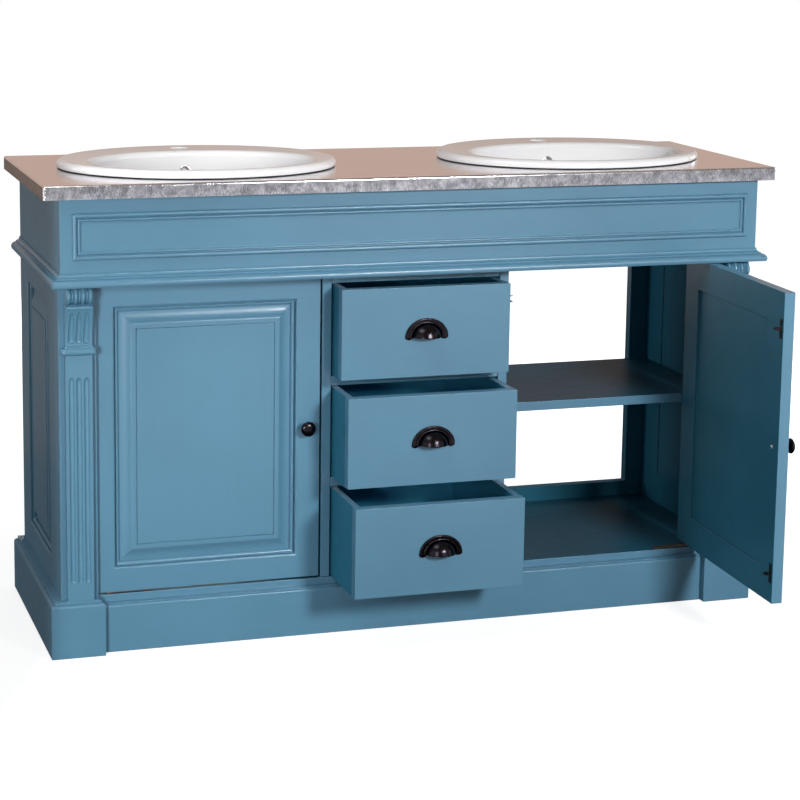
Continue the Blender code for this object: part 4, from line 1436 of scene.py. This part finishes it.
    def build(self) -> None:
        """Builds the pilaster and cuts its flutes."""
        pilaster = self.shaft(self.side.word + "_fluted_pilaster")
        for part in (*self.crossings(), self.roll()):
            carve(pilaster, part, Carving.JOIN)
        radius = self.flute_radius
        point = self.flute_point * radius
        start = self.bottom + self.flute_bottom
        run = self.bead_bottom - self.flute_top - start
        straight = arc((0.0, radius), (radius, radius), -TIP_DEG, 0, 8)
        straight += arc((0.0, run - point), (radius, point), 0, TIP_DEG, 10)
        wide = self.lancet_width * radius
        length = self.neck_height - self.neck_margin
        lancet = arc((0.0, radius), (wide, radius), -TIP_DEG, 0, 8)
        lancet += arc((0.0, radius), (wide, length - radius), 0, TIP_DEG, 14)
        lean = math.atan2(self.neck_flare, self.neck_height)
        tilt = Matrix.Rotation(self.lancet_lean * lean, 4, "X")
        depth = self.face - (radius - self.flute_depth)
        lancet_depth = self.face - (wide - self.lancet_depth)
        foot = self.neck_bottom + self.neck_margin * self.lancet_foot
        for index in range(self.flute_count):
            x = self.middle + (index - (self.flute_count - 1) / 2) * self.flute_pitch
            carve(pilaster, self.groove(straight, Matrix.Translation((x, depth, start))))
            carve(pilaster, self.groove(lancet, Matrix.Translation((x, lancet_depth, foot)) @ tilt))
        mount(pilaster, "cabinet", Slot.PAINT, self.side.word + "_pilaster")


def swept(profile: Sequence[Flat], stations: Sequence[tuple[Flat, Flat]]) -> bmesh.types.BMesh:
    """A moulding: a profile of (out, height) points carried round mitred corners.

    Args:
        profile: The section.
        stations: Corners on the face that carries it, each with the way out from it.

    Returns:
        The moulding.
    """
    rings = [
        [Vector((x + mx * out, y + my * out, z)) for out, z in profile]
        for (x, y), (mx, my) in stations
    ]
    return loft(rings)


@dataclass
class Mouldings:
    """The waist moulding, the frieze moulding and the plinths."""

    finishes: Finishes
    nose: float = 0.005
    ovolo: float = 0.009
    fillet: float = 0.0025
    fillet_share: float = 0.9
    cove: float = 0.0065
    cove_step: float = 0.0004
    projection: float = 0.018
    frieze_width: float = 0.017
    frieze_height: float = 0.0065
    block_ovolo: float = 0.006
    block_fillet: float = 0.005
    front_ovolo: float = 0.004
    front_fillet: float = 0.002
    plinth_quirk: float = 0.0015
    foot_ease: float = 0.0008
    top_ease: float = 0.0005
    block_width: float = 0.098

    def __post_init__(self) -> None:
        """Takes the paint that every moulding has."""
        self.paint = self.finishes.paint(Grain.ALONG_X)

    def waist(self) -> None:
        """The moulding round the front and both sides at the foot of the frieze."""
        low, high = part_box("waist_moulding")
        frieze_low, frieze_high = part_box("front_frieze")
        middle = (self.projection - self.ovolo, low.z + self.nose)
        undercut = -math.degrees(math.asin(self.nose / self.ovolo))
        cove_bottom = low.z + self.nose + self.ovolo + self.fillet
        step = middle[0] - self.cove_step
        profile = [(SEAT_GAP, low.z)]
        profile += arc(middle, (self.ovolo, self.ovolo), undercut, 84, 14)
        profile += [(step, cove_bottom - self.fillet * self.fillet_share), (step, cove_bottom)]
        profile += arc((step, cove_bottom + self.cove), (self.cove, self.cove), 270, 180, 10)
        profile += [(middle[0] - self.cove, high.z), (SEAT_GAP, high.z)]
        left, right = frieze_low.x, frieze_high.x
        front, back = frieze_low.y, high.y
        stations = [
            ((left, back), (-1, 0)),
            ((left, front), (-1, -1)),
            ((right, front), (1, -1)),
            ((right, back), (1, 0)),
        ]
        piece = make_piece("waist_profile", swept(profile, stations), self.paint)
        mount(piece, "cabinet", Slot.PAINT, "waist_moulding")

    def frieze_section(self) -> list[Flat]:
        """The frieze moulding's section, as (inset, out): a wide bead, a quirk and a narrow bead.

        Returns:
            The points, in order.
        """
        shares = [(0.0, 0.45), *arc((0.24, 0.45), (0.24, 0.55), 180, 20, 10)]
        shares += [(0.49, 0.16), (0.54, 0.14), *arc((0.71, 0.20), (0.16, 0.42), 180, 0, 8)]
        shares += [(0.90, 0.12), (0.98, 0.10)]
        section = [(across * self.frieze_width, out * self.frieze_height) for across, out in shares]
        return [(0.0, SEAT_GAP), *section, (self.frieze_width, SEAT_GAP)]

    def frieze(self) -> None:
        """The planted moulding that frames the frieze."""
        low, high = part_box("frieze_moulding")
        face = high.y + SEAT_GAP
        rings = [
            [Vector((x, face - out, z)) for x, z in rectangle((low.x, low.z), (high.x, high.z), inset)]
            for inset, out in self.frieze_section()
        ]
        piece = make_piece("frieze_frame", loft(rings, closed=True, mitred=True), self.paint)
        mount(piece, "cabinet", Slot.PAINT, "frieze_moulding")

    def plinth_profile(self, thickness: float, height: float, ovolo: float, fillet: float) -> list[Flat]:
        """A plinth board with a quarter round and a small fillet along its top edge.

        Args:
            thickness: The board's thickness at its foot.
            height: The board's height.
            ovolo: The quarter round's radius.
            fillet: The fillet's height.

        Returns:
            Points of (out, height).
        """
        face = thickness - ovolo - self.plinth_quirk
        foot, top = self.foot_ease, self.top_ease
        profile = [(SEAT_GAP, 0.0), (thickness - foot, 0.0), (thickness, foot)]
        profile += arc((thickness - ovolo, height - fillet - ovolo), (ovolo, ovolo), 0, 90, 10)
        profile += [(face, height - fillet), (face, height - top), (face - top, height)]
        return [*profile, (SEAT_GAP, height)]

    def plinths(self) -> None:
        """The front plinth, and each side's plinth with its corner block."""
        low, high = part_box("front_plinth")
        back = high.y + SEAT_GAP
        profile = self.plinth_profile(back - low.y, high.z, self.front_ovolo, self.front_fillet)
        stations = [((low.x, back), (0, -1)), ((high.x, back), (0, -1))]
        piece = make_piece("front_plinth_board", swept(profile, stations), self.paint)
        mount(piece, "cabinet", Slot.PAINT, "front_plinth")
        for side in Side:
            low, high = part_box(side.word + "_plinth")
            post_low, post_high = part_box(side.word + "_corner_post")
            face_x = post_low.x if side is Side.LEFT else post_high.x
            outer_x = low.x if side is Side.LEFT else high.x
            thickness = abs(outer_x - face_x)
            inner_x = outer_x - side.value * (self.block_width - thickness)
            profile = self.plinth_profile(thickness, high.z, self.block_ovolo, self.block_fillet)
            stations = [
                ((face_x, high.y), (side.value, 0)),
                ((face_x, post_low.y), (side.value, -1)),
                ((inner_x, post_low.y), (-side.value, -1)),
                ((inner_x, post_low.y), (-side.value, 0)),
            ]
            piece = make_piece(side.word + "_plinth_block", swept(profile, stations), self.paint)
            mount(piece, "cabinet", Slot.PAINT, side.word + "_plinth")

    def build(self) -> None:
        """Builds every moulding."""
        self.waist()
        self.frieze()
        self.plinths()


@dataclass
class Carcase:
    """The plain boards of the cabinet, kept as CAD nodes."""

    frame: dict
    finishes: Finishes
    edge: float = 0.0012

    def build(self) -> None:
        """Dresses every board along its grain; most get painted shade on their faces inside the cabinet.
        """
        across = ("bottom_board", "left_shelf", "right_shelf", "front_cross_rail")
        rails = ("drawer_top_rail", "upper_drawer_rail", "lower_drawer_rail")
        # Faces turned into the cabinet get painted shade on the boards, rails, dividers, bearer and back
        # frame; posts and frieze get none.
        groups = (
            (Grain.ALONG_X, Shelter.BOARD, across + rails),
            (Grain.ALONG_Z, Shelter.BOARD, ("left_divider", "right_divider")),
            (Grain.ALONG_Z, Shelter.BACK, ("back_frame",)),
            (Grain.ALONG_Z, Shelter.OPEN, ("left_corner_post", "right_corner_post")),
            (Grain.ALONG_X, Shelter.OPEN, ("front_frieze",)),
            (Grain.ALONG_Y, Shelter.BOARD, ("floor_bearer",)),
        )
        for grain, shelter, names in groups:
            for name in names:
                dress_node(self.frame, name, self.finishes.paint(grain, shelter), self.edge)


@dataclass
class CupPull:
    """A cup pull: a domed shell open below, in an arched band with round ends."""

    finishes: Finishes
    node: str
    body: str
    dome_half: float = 0.0283
    dome_height: float = 0.0253
    shell: float = 0.0018
    lip: float = 0.0007
    lip_height: float = 0.0030
    crown_deg: float = 89.5
    overlap: float = 0.0012
    end_drop: float = 0.0046
    end_deg: float = 87.0
    end_rise: float = 0.35
    end_steps: int = 9
    dome_steps: int = 48
    band_steps: int = 56

    def layer(
        self, bm: bmesh.types.BMesh, projection: float, inset: float, lip: float
    ) -> list[list[bmesh.types.BMVert]]:
        """One face of the shell, in half rings from its mouth up.

        Args:
            bm: The mesh that takes the points.
            projection: How far the pull stands out.
            inset: How far this face lies inside the outer one.
            lip: How far the face draws in above the mouth.

        Returns:
            The rows of points.
        """
        across, out, up = self.dome_half - inset, projection - inset, self.dome_height - inset
        rows = self.dome_steps * 2 // 3
        turns = [math.pi * column / self.dome_steps for column in range(self.dome_steps + 1)]
        grid = []
        for row in range(rows + 1):
            lift = math.radians(self.crown_deg) * row / rows
            height = up * math.sin(lift)
            swell = 1 - lip * (1 - math.exp(-((height / self.lip_height) ** 2))) / self.dome_half
            level = math.cos(lift) * swell
            ring = [(across * math.cos(a) * level, -out * math.sin(a) * level, height) for a in turns]
            grid.append([bm.verts.new(point) for point in ring])
        return grid

    def dome(self, projection: float) -> bmesh.types.BMesh:
        """The shell, with x across, y out of the drawer towards -Y and z up from its mouth.

        Args:
            projection: How far the pull stands out.

        Returns:
            The shell.
        """
        bm = bmesh.new()
        outer = self.layer(bm, projection, 0.0, self.lip)
        inner = self.layer(bm, projection, self.shell, 0.0)
        strips = [*zip(outer, outer[1:]), *zip(inner, inner[1:])]
        strips += [(outer[end], inner[end]) for end in (0, -1)]
        for end in (0, -1):
            strips.append(([ring[end] for ring in outer], [ring[end] for ring in inner]))
        for near, far in strips:
            for first, second, third, fourth in zip(near, near[1:], far[1:], far):
                bm.faces.new((first, second, third, fourth))
        return bm

    def band_section(self) -> list[Flat]:
        """The band's section from its outer edge to the dome, as (share of its width, height).

        Returns:
            The points, in order.
        """
        section = [(0.0, 0.0), (0.0, 0.0012)]
        section += arc((0.16, 0.0012), (0.16, 0.0020), 180, 90, 6)[1:]
        section += [(0.38, 0.0033), (0.50, 0.0028)]
        section += arc((0.70, 0.0028), (0.18, 0.0020), 180, 0, 10)
        section += [(0.94, 0.0018), (1.0, 0.0016), (1.0, 0.0)]
        return section

    def band(self, half: float, height: float) -> bpy.types.Object:
        """The arched band: its section carried round the dome, closing to a round lobe at each end.

        Args:
            half: Half the pull's width.
            height: The pull's height.

        Returns:
            The band, in the dome's own place.
        """
        inner = Vector((self.dome_half - self.overlap, self.dome_height - self.overlap))
        outer = Vector((half, height - self.end_drop))
        lobe = []
        for step in range(self.end_steps):
            sink = math.radians(self.end_deg * (1 - step / self.end_steps))
            lobe.append((math.cos(sink), self.end_drop * math.sin(sink)))
        stations = [(0.0, *end) for end in lobe]
        stations += [(math.pi * step / self.band_steps, 1.0, 0.0) for step in range(self.band_steps + 1)]
        stations += [(math.pi, *end) for end in reversed(lobe)]
        rings = []
        for turn, share, drop in stations:
            way = Vector((math.cos(turn), math.sin(turn)))
            middle = (inner + outer) / 2 * way
            width = (outer - inner) * way
            lift = self.end_rise + (1 - self.end_rise) * share
            ring = []
            for across, rise in self.band_section():
                place = middle + width * (0.5 - across) * share
                ring.append(Vector((place.x, -rise * lift, place.y - drop)))
            rings.append(ring)
        return make_piece("band", loft(rings), self.finishes.bronze)

    def build(self) -> None:
        """Builds the pull where its CAD node is."""
        low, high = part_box(self.node)
        pull = make_piece(self.node + "_cup", self.dome(high.y - low.y), self.finishes.bronze)
        carve(pull, self.band((high.x - low.x) / 2, high.z - low.z), Carving.JOIN)
        pull.location = ((low.x + high.x) / 2, high.y, low.z + self.end_drop)
        mount(pull, self.body, Slot.BRONZE, self.node)


@dataclass
class Drawer:
    """A drawer: its front and box as CAD nodes, and its cup pull."""

    frame: dict
    finishes: Finishes
    word: str
    front_edge: float = 0.0012
    box_edge: float = 0.0008

    def build(self) -> None:
        """Dresses the drawer."""
        body = self.word + "_drawer"
        paint = self.finishes.paint
        dress_node(self.frame, body + "_front", paint(Grain.ALONG_X), self.front_edge)
        # The box's faces, except those facing up, get painted shade, and its inner faces get painted
        # light.
        dress_node(self.frame, body + "_box", paint(Grain.ALONG_Y, Shelter.DRAWER_BOX), self.box_edge)
        CupPull(self.finishes, body + "_pull", body).build()


@dataclass
class Door:
    """A panelled door with its knob, catch strikes and hinge arms."""

    frame: dict
    finishes: Finishes
    side: Side
    member: float = 0.0415
    knob_edge: float = 0.0255
    knob_radius: float = 0.014
    knob_length: float = 0.022
    screw_radius: float = 0.0040
    screw_height: float = 0.0018
    screw_rim: float = 0.0004
    screw_middle: float = 0.0003
    cross: tuple[float, float, float] = (0.125, 0.8, 0.2)
    cross_edge: float = 0.0001
    hardware_edge: float = 0.0003

    def place(self) -> Matrix:
        """The move from where this door is shut to where it rests."""
        joints = {joint["child"]: joint for joint in self.frame["joints"]}
        return shut_to_rest(joints[self.side.word + "_door"])

    def knob_profile(self) -> list[Flat]:
        """The knob's outline, as (radius, length out) from its tip to its foot.

        Returns:
            The points, in order.
        """
        shares = [(0.03, 1.0), (0.35, 0.985), (0.68, 0.93), (0.92, 0.83), (1.0, 0.71), (0.93, 0.60)]
        shares += [(0.70, 0.52), (0.46, 0.45), (0.38, 0.34), (0.40, 0.22), (0.56, 0.13), (0.60, 0.08)]
        shares.append((0.60, 0.0))
        points = [(radius * self.knob_radius, out * self.knob_length) for radius, out in shares]
        return flowing(points, steps=4)

    def stand(self, piece: bpy.types.Object, place: Vector, turn: float) -> bpy.types.Object:
        """Sets a turned piece on the door, with its axis turned out of a face.

        Args:
            piece: The piece.
            place: Where its foot goes.
            turn: The turn about x that its axis takes.

        Returns:
            The same piece.
        """
        piece.location = place
        piece.rotation_euler = (turn, 0.0, 0.0)
        bpy.context.view_layer.update()
        return piece

    def knob(self, place: Vector) -> bpy.types.Object:
        """The knob, on the door's face.

        Args:
            place: Where its foot goes.

        Returns:
            The knob.
        """
        profile = turned(self.knob_profile(), steps=40)
        knob = make_piece(self.side.word + "_turned_knob", profile, self.finishes.bronze)
        return self.stand(knob, place, math.pi / 2)

    def knob_screw(self, place: Vector) -> bpy.types.Object:
        """The pan head of the screw that holds the knob, on the door's inner face.

        Args:
            place: Where its foot goes.

        Returns:
            The screw.
        """
        section = [(self.screw_middle, 0.0), (self.screw_radius, 0.0)]
        radii = (self.screw_radius, self.screw_height)
        section += arc((0.0, self.screw_rim), radii, 10, TIP_DEG, 8)
        steel = self.finishes.steel
        screw = make_piece(self.side.word + "_knob_screw", turned(section, steps=32), steel)
        middle = Vector((0.0, 0.0, self.screw_height + self.screw_rim))
        narrow, long, deep = self.cross
        for size in ((narrow, long, deep), (long, narrow, deep)):
            half = Vector(size) * self.screw_radius
            blade = rounded_block(middle - half, middle + half, self.cross_edge, False)
            carve(screw, make_piece("driver", blade, steel))
        return self.stand(screw, place, -math.pi / 2)

    def build(self) -> None:
        """Builds the door where it is shut, and carries it to its place."""
        word = self.side.word
        body = word + "_door"
        low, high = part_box("left_door_frame")
        mirror = -self.side.value
        place = self.place()
        outer = ((low.x, low.z), (high.x, high.z))
        opening = (
            (low.x + self.member, low.z + self.member),
            (high.x - self.member, high.z - self.member),
        )
        drawing = Matrix(((mirror, 0, 0, 0), (0, 1, 0, low.y), (0, 0, 1, 0), (0, 0, 0, 1)))
        depth = high.y - low.y
        # The door's inner faces get painted shade.
        panelling = Panelling(self.finishes, PanelSection(), outer, opening, depth, Shelter.DOOR)
        frame, panel = panelling.build(word + "_door_framing", word + "_door_raised_panel", drawing)
        x, z = mirror * (high.x - self.knob_edge), (low.z + high.z) / 2
        knob = self.knob(Vector((x, low.y - SEAT_GAP, z)))
        screw = self.knob_screw(Vector((x, high.y, z)))
        pieces = (
            (frame, Slot.PAINT, [word + "_door_frame"]),
            (panel, Slot.PAINT, [word + "_door_panel"]),
            (knob, Slot.BRONZE, [word + "_door_knob"]),
            (screw, None, []),
        )
        for piece, slot, nodes in pieces:
            piece.matrix_world = place @ piece.matrix_world
            mount(piece, body, slot, *nodes)
        self.dress_hardware()

    def dress_hardware(self) -> None:
        """Dresses the hinges and the catches, those on the cabinet too."""
        brass = self.finishes.brass
        iron, steel = self.finishes.iron, self.finishes.steel
        metals = {"hinge_arm": brass, "hinge_plate": brass, "strike": iron, "catch_clip": steel}
        for end in ("upper", "lower"):
            for name, metal in metals.items():
                dress_node(self.frame, f"{self.side.word}_{end}_{name}", metal, self.hardware_edge)


@dataclass
class Studio:
    """The pale floor, the white world, soft lamps and the camera at the photograph's angle."""

    camera_place: Place = (-1.2991, -4.0038, 1.348)
    yaw: float = 0.3047
    pitch: float = 0.1691
    roll: float = 0.0121
    focal_px: float = 2212.7
    centre_px: Flat = (367.1, 280.0)
    image_px: float = 800.0
    sensor: float = 36.0
    world_light: float = 0.09
    glow: Flat = (0.80, 1.0)
    glow_reach: Flat = (0.75, 1.6)
    floor_shown: float = 0.44
    floor_bounce: float = 0.45
    floor_level: float = -0.0006
    floor_half: float = 9.0
    card_level: float = -0.0003
    room_half: float = 6.0
    room_front: float = -5.6
    room_height: float = 3.4
    wall: float = 1.3
    wall_half: float = 3.2
    skirting_top: float = 0.80
    skirting_change: float = -0.6
    front_skirting_top: float = 0.45
    floor_change: float = -1.2

    def bare_graph(self, owner: bpy.types.Material | bpy.types.World) -> NodeGraph:
        """An empty node tree for a stage material or the world.

        Args:
            owner: The material, or the world.

        Returns:
            Its nodes.
        """
        owner.use_nodes = True
        owner.node_tree.nodes.clear()
        return NodeGraph(owner.node_tree)

    def shown_and_lit(
        self, graph: NodeGraph, shown: bpy.types.NodeSocket, lit: bpy.types.NodeSocket
    ) -> bpy.types.NodeSocket:
        """Parts what is seen, straight, mirrored or through glass, from what gives light.

        Args:
            graph: The nodes to add to.
            shown: The shader for rays that see the background itself.
            lit: The shader for all other rays.

        Returns:
            Both in one.
        """
        path = graph.add("LightPath").outputs
        seeing = path["Is Camera Ray"]
        for name in ("Is Glossy Ray", "Is Transmission Ray"):
            seeing = graph.join("Math", seeing, path[name], operation="MAXIMUM").outputs["Value"]
        return graph.join("MixShader", seeing, lit, shown).outputs["Shader"]

    def world(self) -> None:
        """A world that shows white and lights softly."""
        world = bpy.data.worlds.new("white_studio")
        graph = self.bare_graph(world)
        shown = graph.add("Background", Color=WHITE).outputs["Background"]
        lit = graph.add("Background", Color=WHITE, Strength=self.world_light).outputs["Background"]
        graph.add("OutputWorld", Surface=self.shown_and_lit(graph, shown, lit))
        bpy.context.scene.world = world

    def sheet(
        self, name: str, corners: Sequence[Place], material: bpy.types.Material
    ) -> bpy.types.Object:
        """A flat stage sheet through four corners.

        Args:
            name: The sheet's name.
            corners: Its corners, in turn.
            material: Its finish.

        Returns:
            The sheet.
        """
        bm = bmesh.new()
        bm.faces.new([bm.verts.new(corner) for corner in corners])
        sheet = make_piece(name, bm, material)
        return sheet

    def floor(self) -> None:
        """A floor that shows white, and keeps a light shadow under the unit."""
        material = bpy.data.materials.new("pale_floor")
        graph = self.bare_graph(material)
        bounce, grey = (self.floor_bounce,) * 3, (self.floor_shown,) * 3
        lit = graph.add("BsdfDiffuse", Color=(*bounce, 1.0)).outputs["BSDF"]
        shown = graph.add("BsdfDiffuse", Color=(*grey, 1.0)).outputs["BSDF"]
        position = graph.add("NewGeometry").outputs["Position"]
        away = graph.join("VectorMath", position, operation="LENGTH").outputs["Value"]
        strength = graph.spread(away, *self.glow, *self.glow_reach)
        glow = graph.add("Emission", Strength=strength).outputs["Emission"]
        both = graph.join("AddShader", shown, glow).outputs["Shader"]
        graph.add("OutputMaterial", Surface=self.shown_and_lit(graph, both, lit))
        reach = (-self.floor_half, self.floor_half)
        self.sheet("studio_floor", self.level(reach, reach, self.floor_level), material)

    def card(self, name: str, colour: Colour, corners: Sequence[Place]) -> None:
        """A studio card of an even colour that only reflections see.

        Args:
            name: The card's name.
            colour: Its colour.
            corners: Its corners, in turn.
        """
        material = bpy.data.materials.new(name)
        graph = self.bare_graph(material)
        glow = graph.add("Emission", Color=(*colour, 1.0)).outputs["Emission"]
        graph.add("OutputMaterial", Surface=glow)
        card = self.sheet(name, corners, material)
        card.visible_camera = False
        card.visible_diffuse = False
        card.visible_shadow = False
        card.visible_transmission = False

    def flag(self, name: str, corners: Sequence[Place]) -> None:
        """A screen that only stops light.

        Args:
            name: The screen's name.
            corners: Its corners, in turn.
        """
        flag = self.sheet(name, corners, bpy.data.materials.new(name))
        flag.visible_camera = False
        flag.visible_diffuse = False
        flag.visible_glossy = False
        flag.visible_transmission = False

    def upright(self, across: Flat, depth: float, heights: Flat) -> list[Place]:
        """Corners of an upright sheet across the unit."""
        (left, right), (bottom, top) = across, heights
        return [(left, depth, bottom), (right, depth, bottom), (right, depth, top), (left, depth, top)]

    def level(self, across: Flat, along: Flat, height: float) -> list[Place]:
        """Corners of a level sheet.

        Args:
            across: Its left and right ends.
            along: Its front and back.
            height: Its height.

        Returns:
            The corners, in turn.
        """
        (left, right), (front, back) = across, along
        corners = ((left, front), (right, front), (right, back), (left, back))
        return [(x, y, height) for x, y in corners]

    def lamp(self, name: str, place: Place, target: Place, size: Flat, power: float) -> None:
        """A soft lamp with a flat face of a width and a depth.

        Args:
            name: The lamp's name.
            place: Where it stands.
            target: Where it points.
            size: The width and depth of its face.
            power: Its power.
        """
        lamp = bpy.data.lights.new(name, "AREA")
        lamp.shape = "RECTANGLE"
        lamp.size, lamp.size_y = size
        lamp.energy = power
        self.stand(lamp, place, target)

    def stand(self, lamp: bpy.types.Light, place: Place, target: Place) -> None:
        """Sets a lamp in its place, turned to a target.

        Args:
            lamp: The lamp.
            place: Where it stands.
            target: Where it points.
        """
        holder = bpy.data.objects.new(lamp.name, lamp)
        holder.location = place
        holder.rotation_euler = (Vector(target) - Vector(place)).to_track_quat("-Z", "Y").to_euler()
        bpy.context.scene.collection.objects.link(holder)

    def beam(
        self, name: str, place: Place, target: Place, cone: Flat, radius: float, power: float
    ) -> None:
        """A lamp with a shaped beam.

        Args:
            name: Its name.
            place: Where it stands.
            target: Where it points.
            cone: The beam's full angle in degrees, and how soft its edge is.
            radius: The lamp's radius.
            power: Its power.
        """
        lamp = bpy.data.lights.new(name, "SPOT")
        lamp.spot_size = math.radians(cone[0])
        lamp.spot_blend = cone[1]
        lamp.shadow_soft_size = radius
        lamp.energy = power
        self.stand(lamp, place, target)

    def camera(self) -> None:
        """The camera, at the photograph's place and angle."""
        data = bpy.data.cameras.new("photo_camera")
        data.sensor_width = self.sensor
        data.lens = self.focal_px / self.image_px * self.sensor
        data.shift_x = (self.image_px / 2 - self.centre_px[0]) / self.image_px
        data.shift_y = (self.centre_px[1] - self.image_px / 2) / self.image_px
        data.clip_end = 50.0
        level = math.cos(self.pitch)
        forward = Vector((math.sin(self.yaw) * level, math.cos(self.yaw) * level, -math.sin(self.pitch)))
        right = Vector((math.cos(self.yaw), -math.sin(self.yaw), 0.0))
        up = right.cross(forward)
        turn = Matrix.Rotation(self.roll, 3, forward)
        right, up = turn.inverted() @ right, turn.inverted() @ up
        camera = bpy.data.objects.new("photo_camera", data)
        rows = Matrix((right, up, -forward)).transposed()
        camera.matrix_world = Matrix.Translation(self.camera_place) @ rows.to_4x4()
        bpy.context.scene.collection.objects.link(camera)
        bpy.context.scene.camera = camera

    def build(self) -> None:
        """Sets the whole studio."""
        bpy.context.scene.view_settings.view_transform = "Standard"
        self.world()
        self.floor()
        self.cards()
        self.lamps()
        self.camera()

    def cards(self) -> None:
        """The room that the bright metal and china reflect."""
        wall = (-self.wall_half, self.wall_half)
        room = (-self.room_half, self.room_half)
        skirting = (0.0, self.skirting_top)
        upper = (self.skirting_top, self.room_height)
        left, right = (wall[0], self.skirting_change), (self.skirting_change, wall[1])
        self.card("tan_wall", (0.60, 0.435, 0.36), self.upright(wall, self.wall, upper))
        self.card("dark_skirting", (0.05, 0.045, 0.045), self.upright(right, self.wall, skirting))
        self.card("brown_skirting", (0.17, 0.125, 0.105), self.upright(left, self.wall, skirting))
        near, far = (self.room_front, self.floor_change), (self.floor_change, self.wall)
        self.card("front_floor_card", (0.95, 0.95, 1.0), self.level(room, near, self.card_level))
        self.card("rear_floor_card", (0.07, 0.06, 0.055), self.level(room, far, self.card_level))
        skirting = (0.0, self.front_skirting_top)
        upper = (self.front_skirting_top, self.room_height)
        self.card("front_skirting", (0.26, 0.26, 0.28), self.upright(room, self.room_front, skirting))
        self.card("front_wall_card", (0.34, 0.335, 0.34), self.upright(room, self.room_front, upper))
        ceiling = self.level(room, (self.room_front, self.wall), self.room_height)
        self.card("ceiling_card", (0.28, 0.24, 0.22), ceiling)

    def lamps(self) -> None:
        """Two shaped beams from the front, soft lamps round the unit and a screen for the left side."""
        self.beam(
            "right_beam",
            place=(0.91, -3.4, 1.68),
            target=(1.6, -0.2, 0.42),
            cone=(80.0, 0.54),
            radius=0.32,
            power=405.0,
        )
        self.beam(
            "left_beam",
            place=(-1.95, -2.75, 0.95),
            target=(-1.6, -0.2, 0.45),
            cone=(66.0, 0.725),
            radius=0.26,
            power=294.0,
        )
        middle = (0.0, 0.0, 0.45)
        self.lamp("upper_left_lamp", (-0.75, -0.55, 1.75), (0.0, -0.3, 0.5), size=(0.8, 0.6), power=7.0)
        self.lamp("left_rear_lamp", (-2.6, 1.3, 0.7), middle, size=(0.8, 0.8), power=12.0)
        self.lamp("right_rear_lamp", (2.6, 1.3, 0.7), middle, size=(0.8, 0.8), power=32.0)
        self.lamp("back_lamp", (0.5, 3.4, 0.5), (0.0, 0.2, 0.45), size=(1.2, 0.6), power=44.0)
        self.flag("left_flag", self.upright((-1.5, -0.835), -0.5, (0.0, 1.3)))


def clear_scene() -> None:
    """Removes what a new file starts with."""
    for thing in list(bpy.data.objects):
        bpy.data.objects.remove(thing)


def main() -> None:
    """Loads the frame, builds every sub-assembly on it and sets the studio."""
    logging.basicConfig(level=logging.INFO, format="%(message)s")
    clear_scene()
    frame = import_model()
    finishes = Finishes()
    Worktop(frame, finishes).build()
    for side in Side:
        Basin(finishes, side).build()
        CabinetSide(finishes, side).build()
        Pilaster(finishes, side).build()
    Mouldings(finishes).build()
    Carcase(frame, finishes).build()
    for word in ("upper", "middle", "lower"):
        Drawer(frame, finishes, word).build()
    for side in Side:
        Door(frame, finishes, side).build()
    Studio().build()


if __name__ == "__main__":
    main()
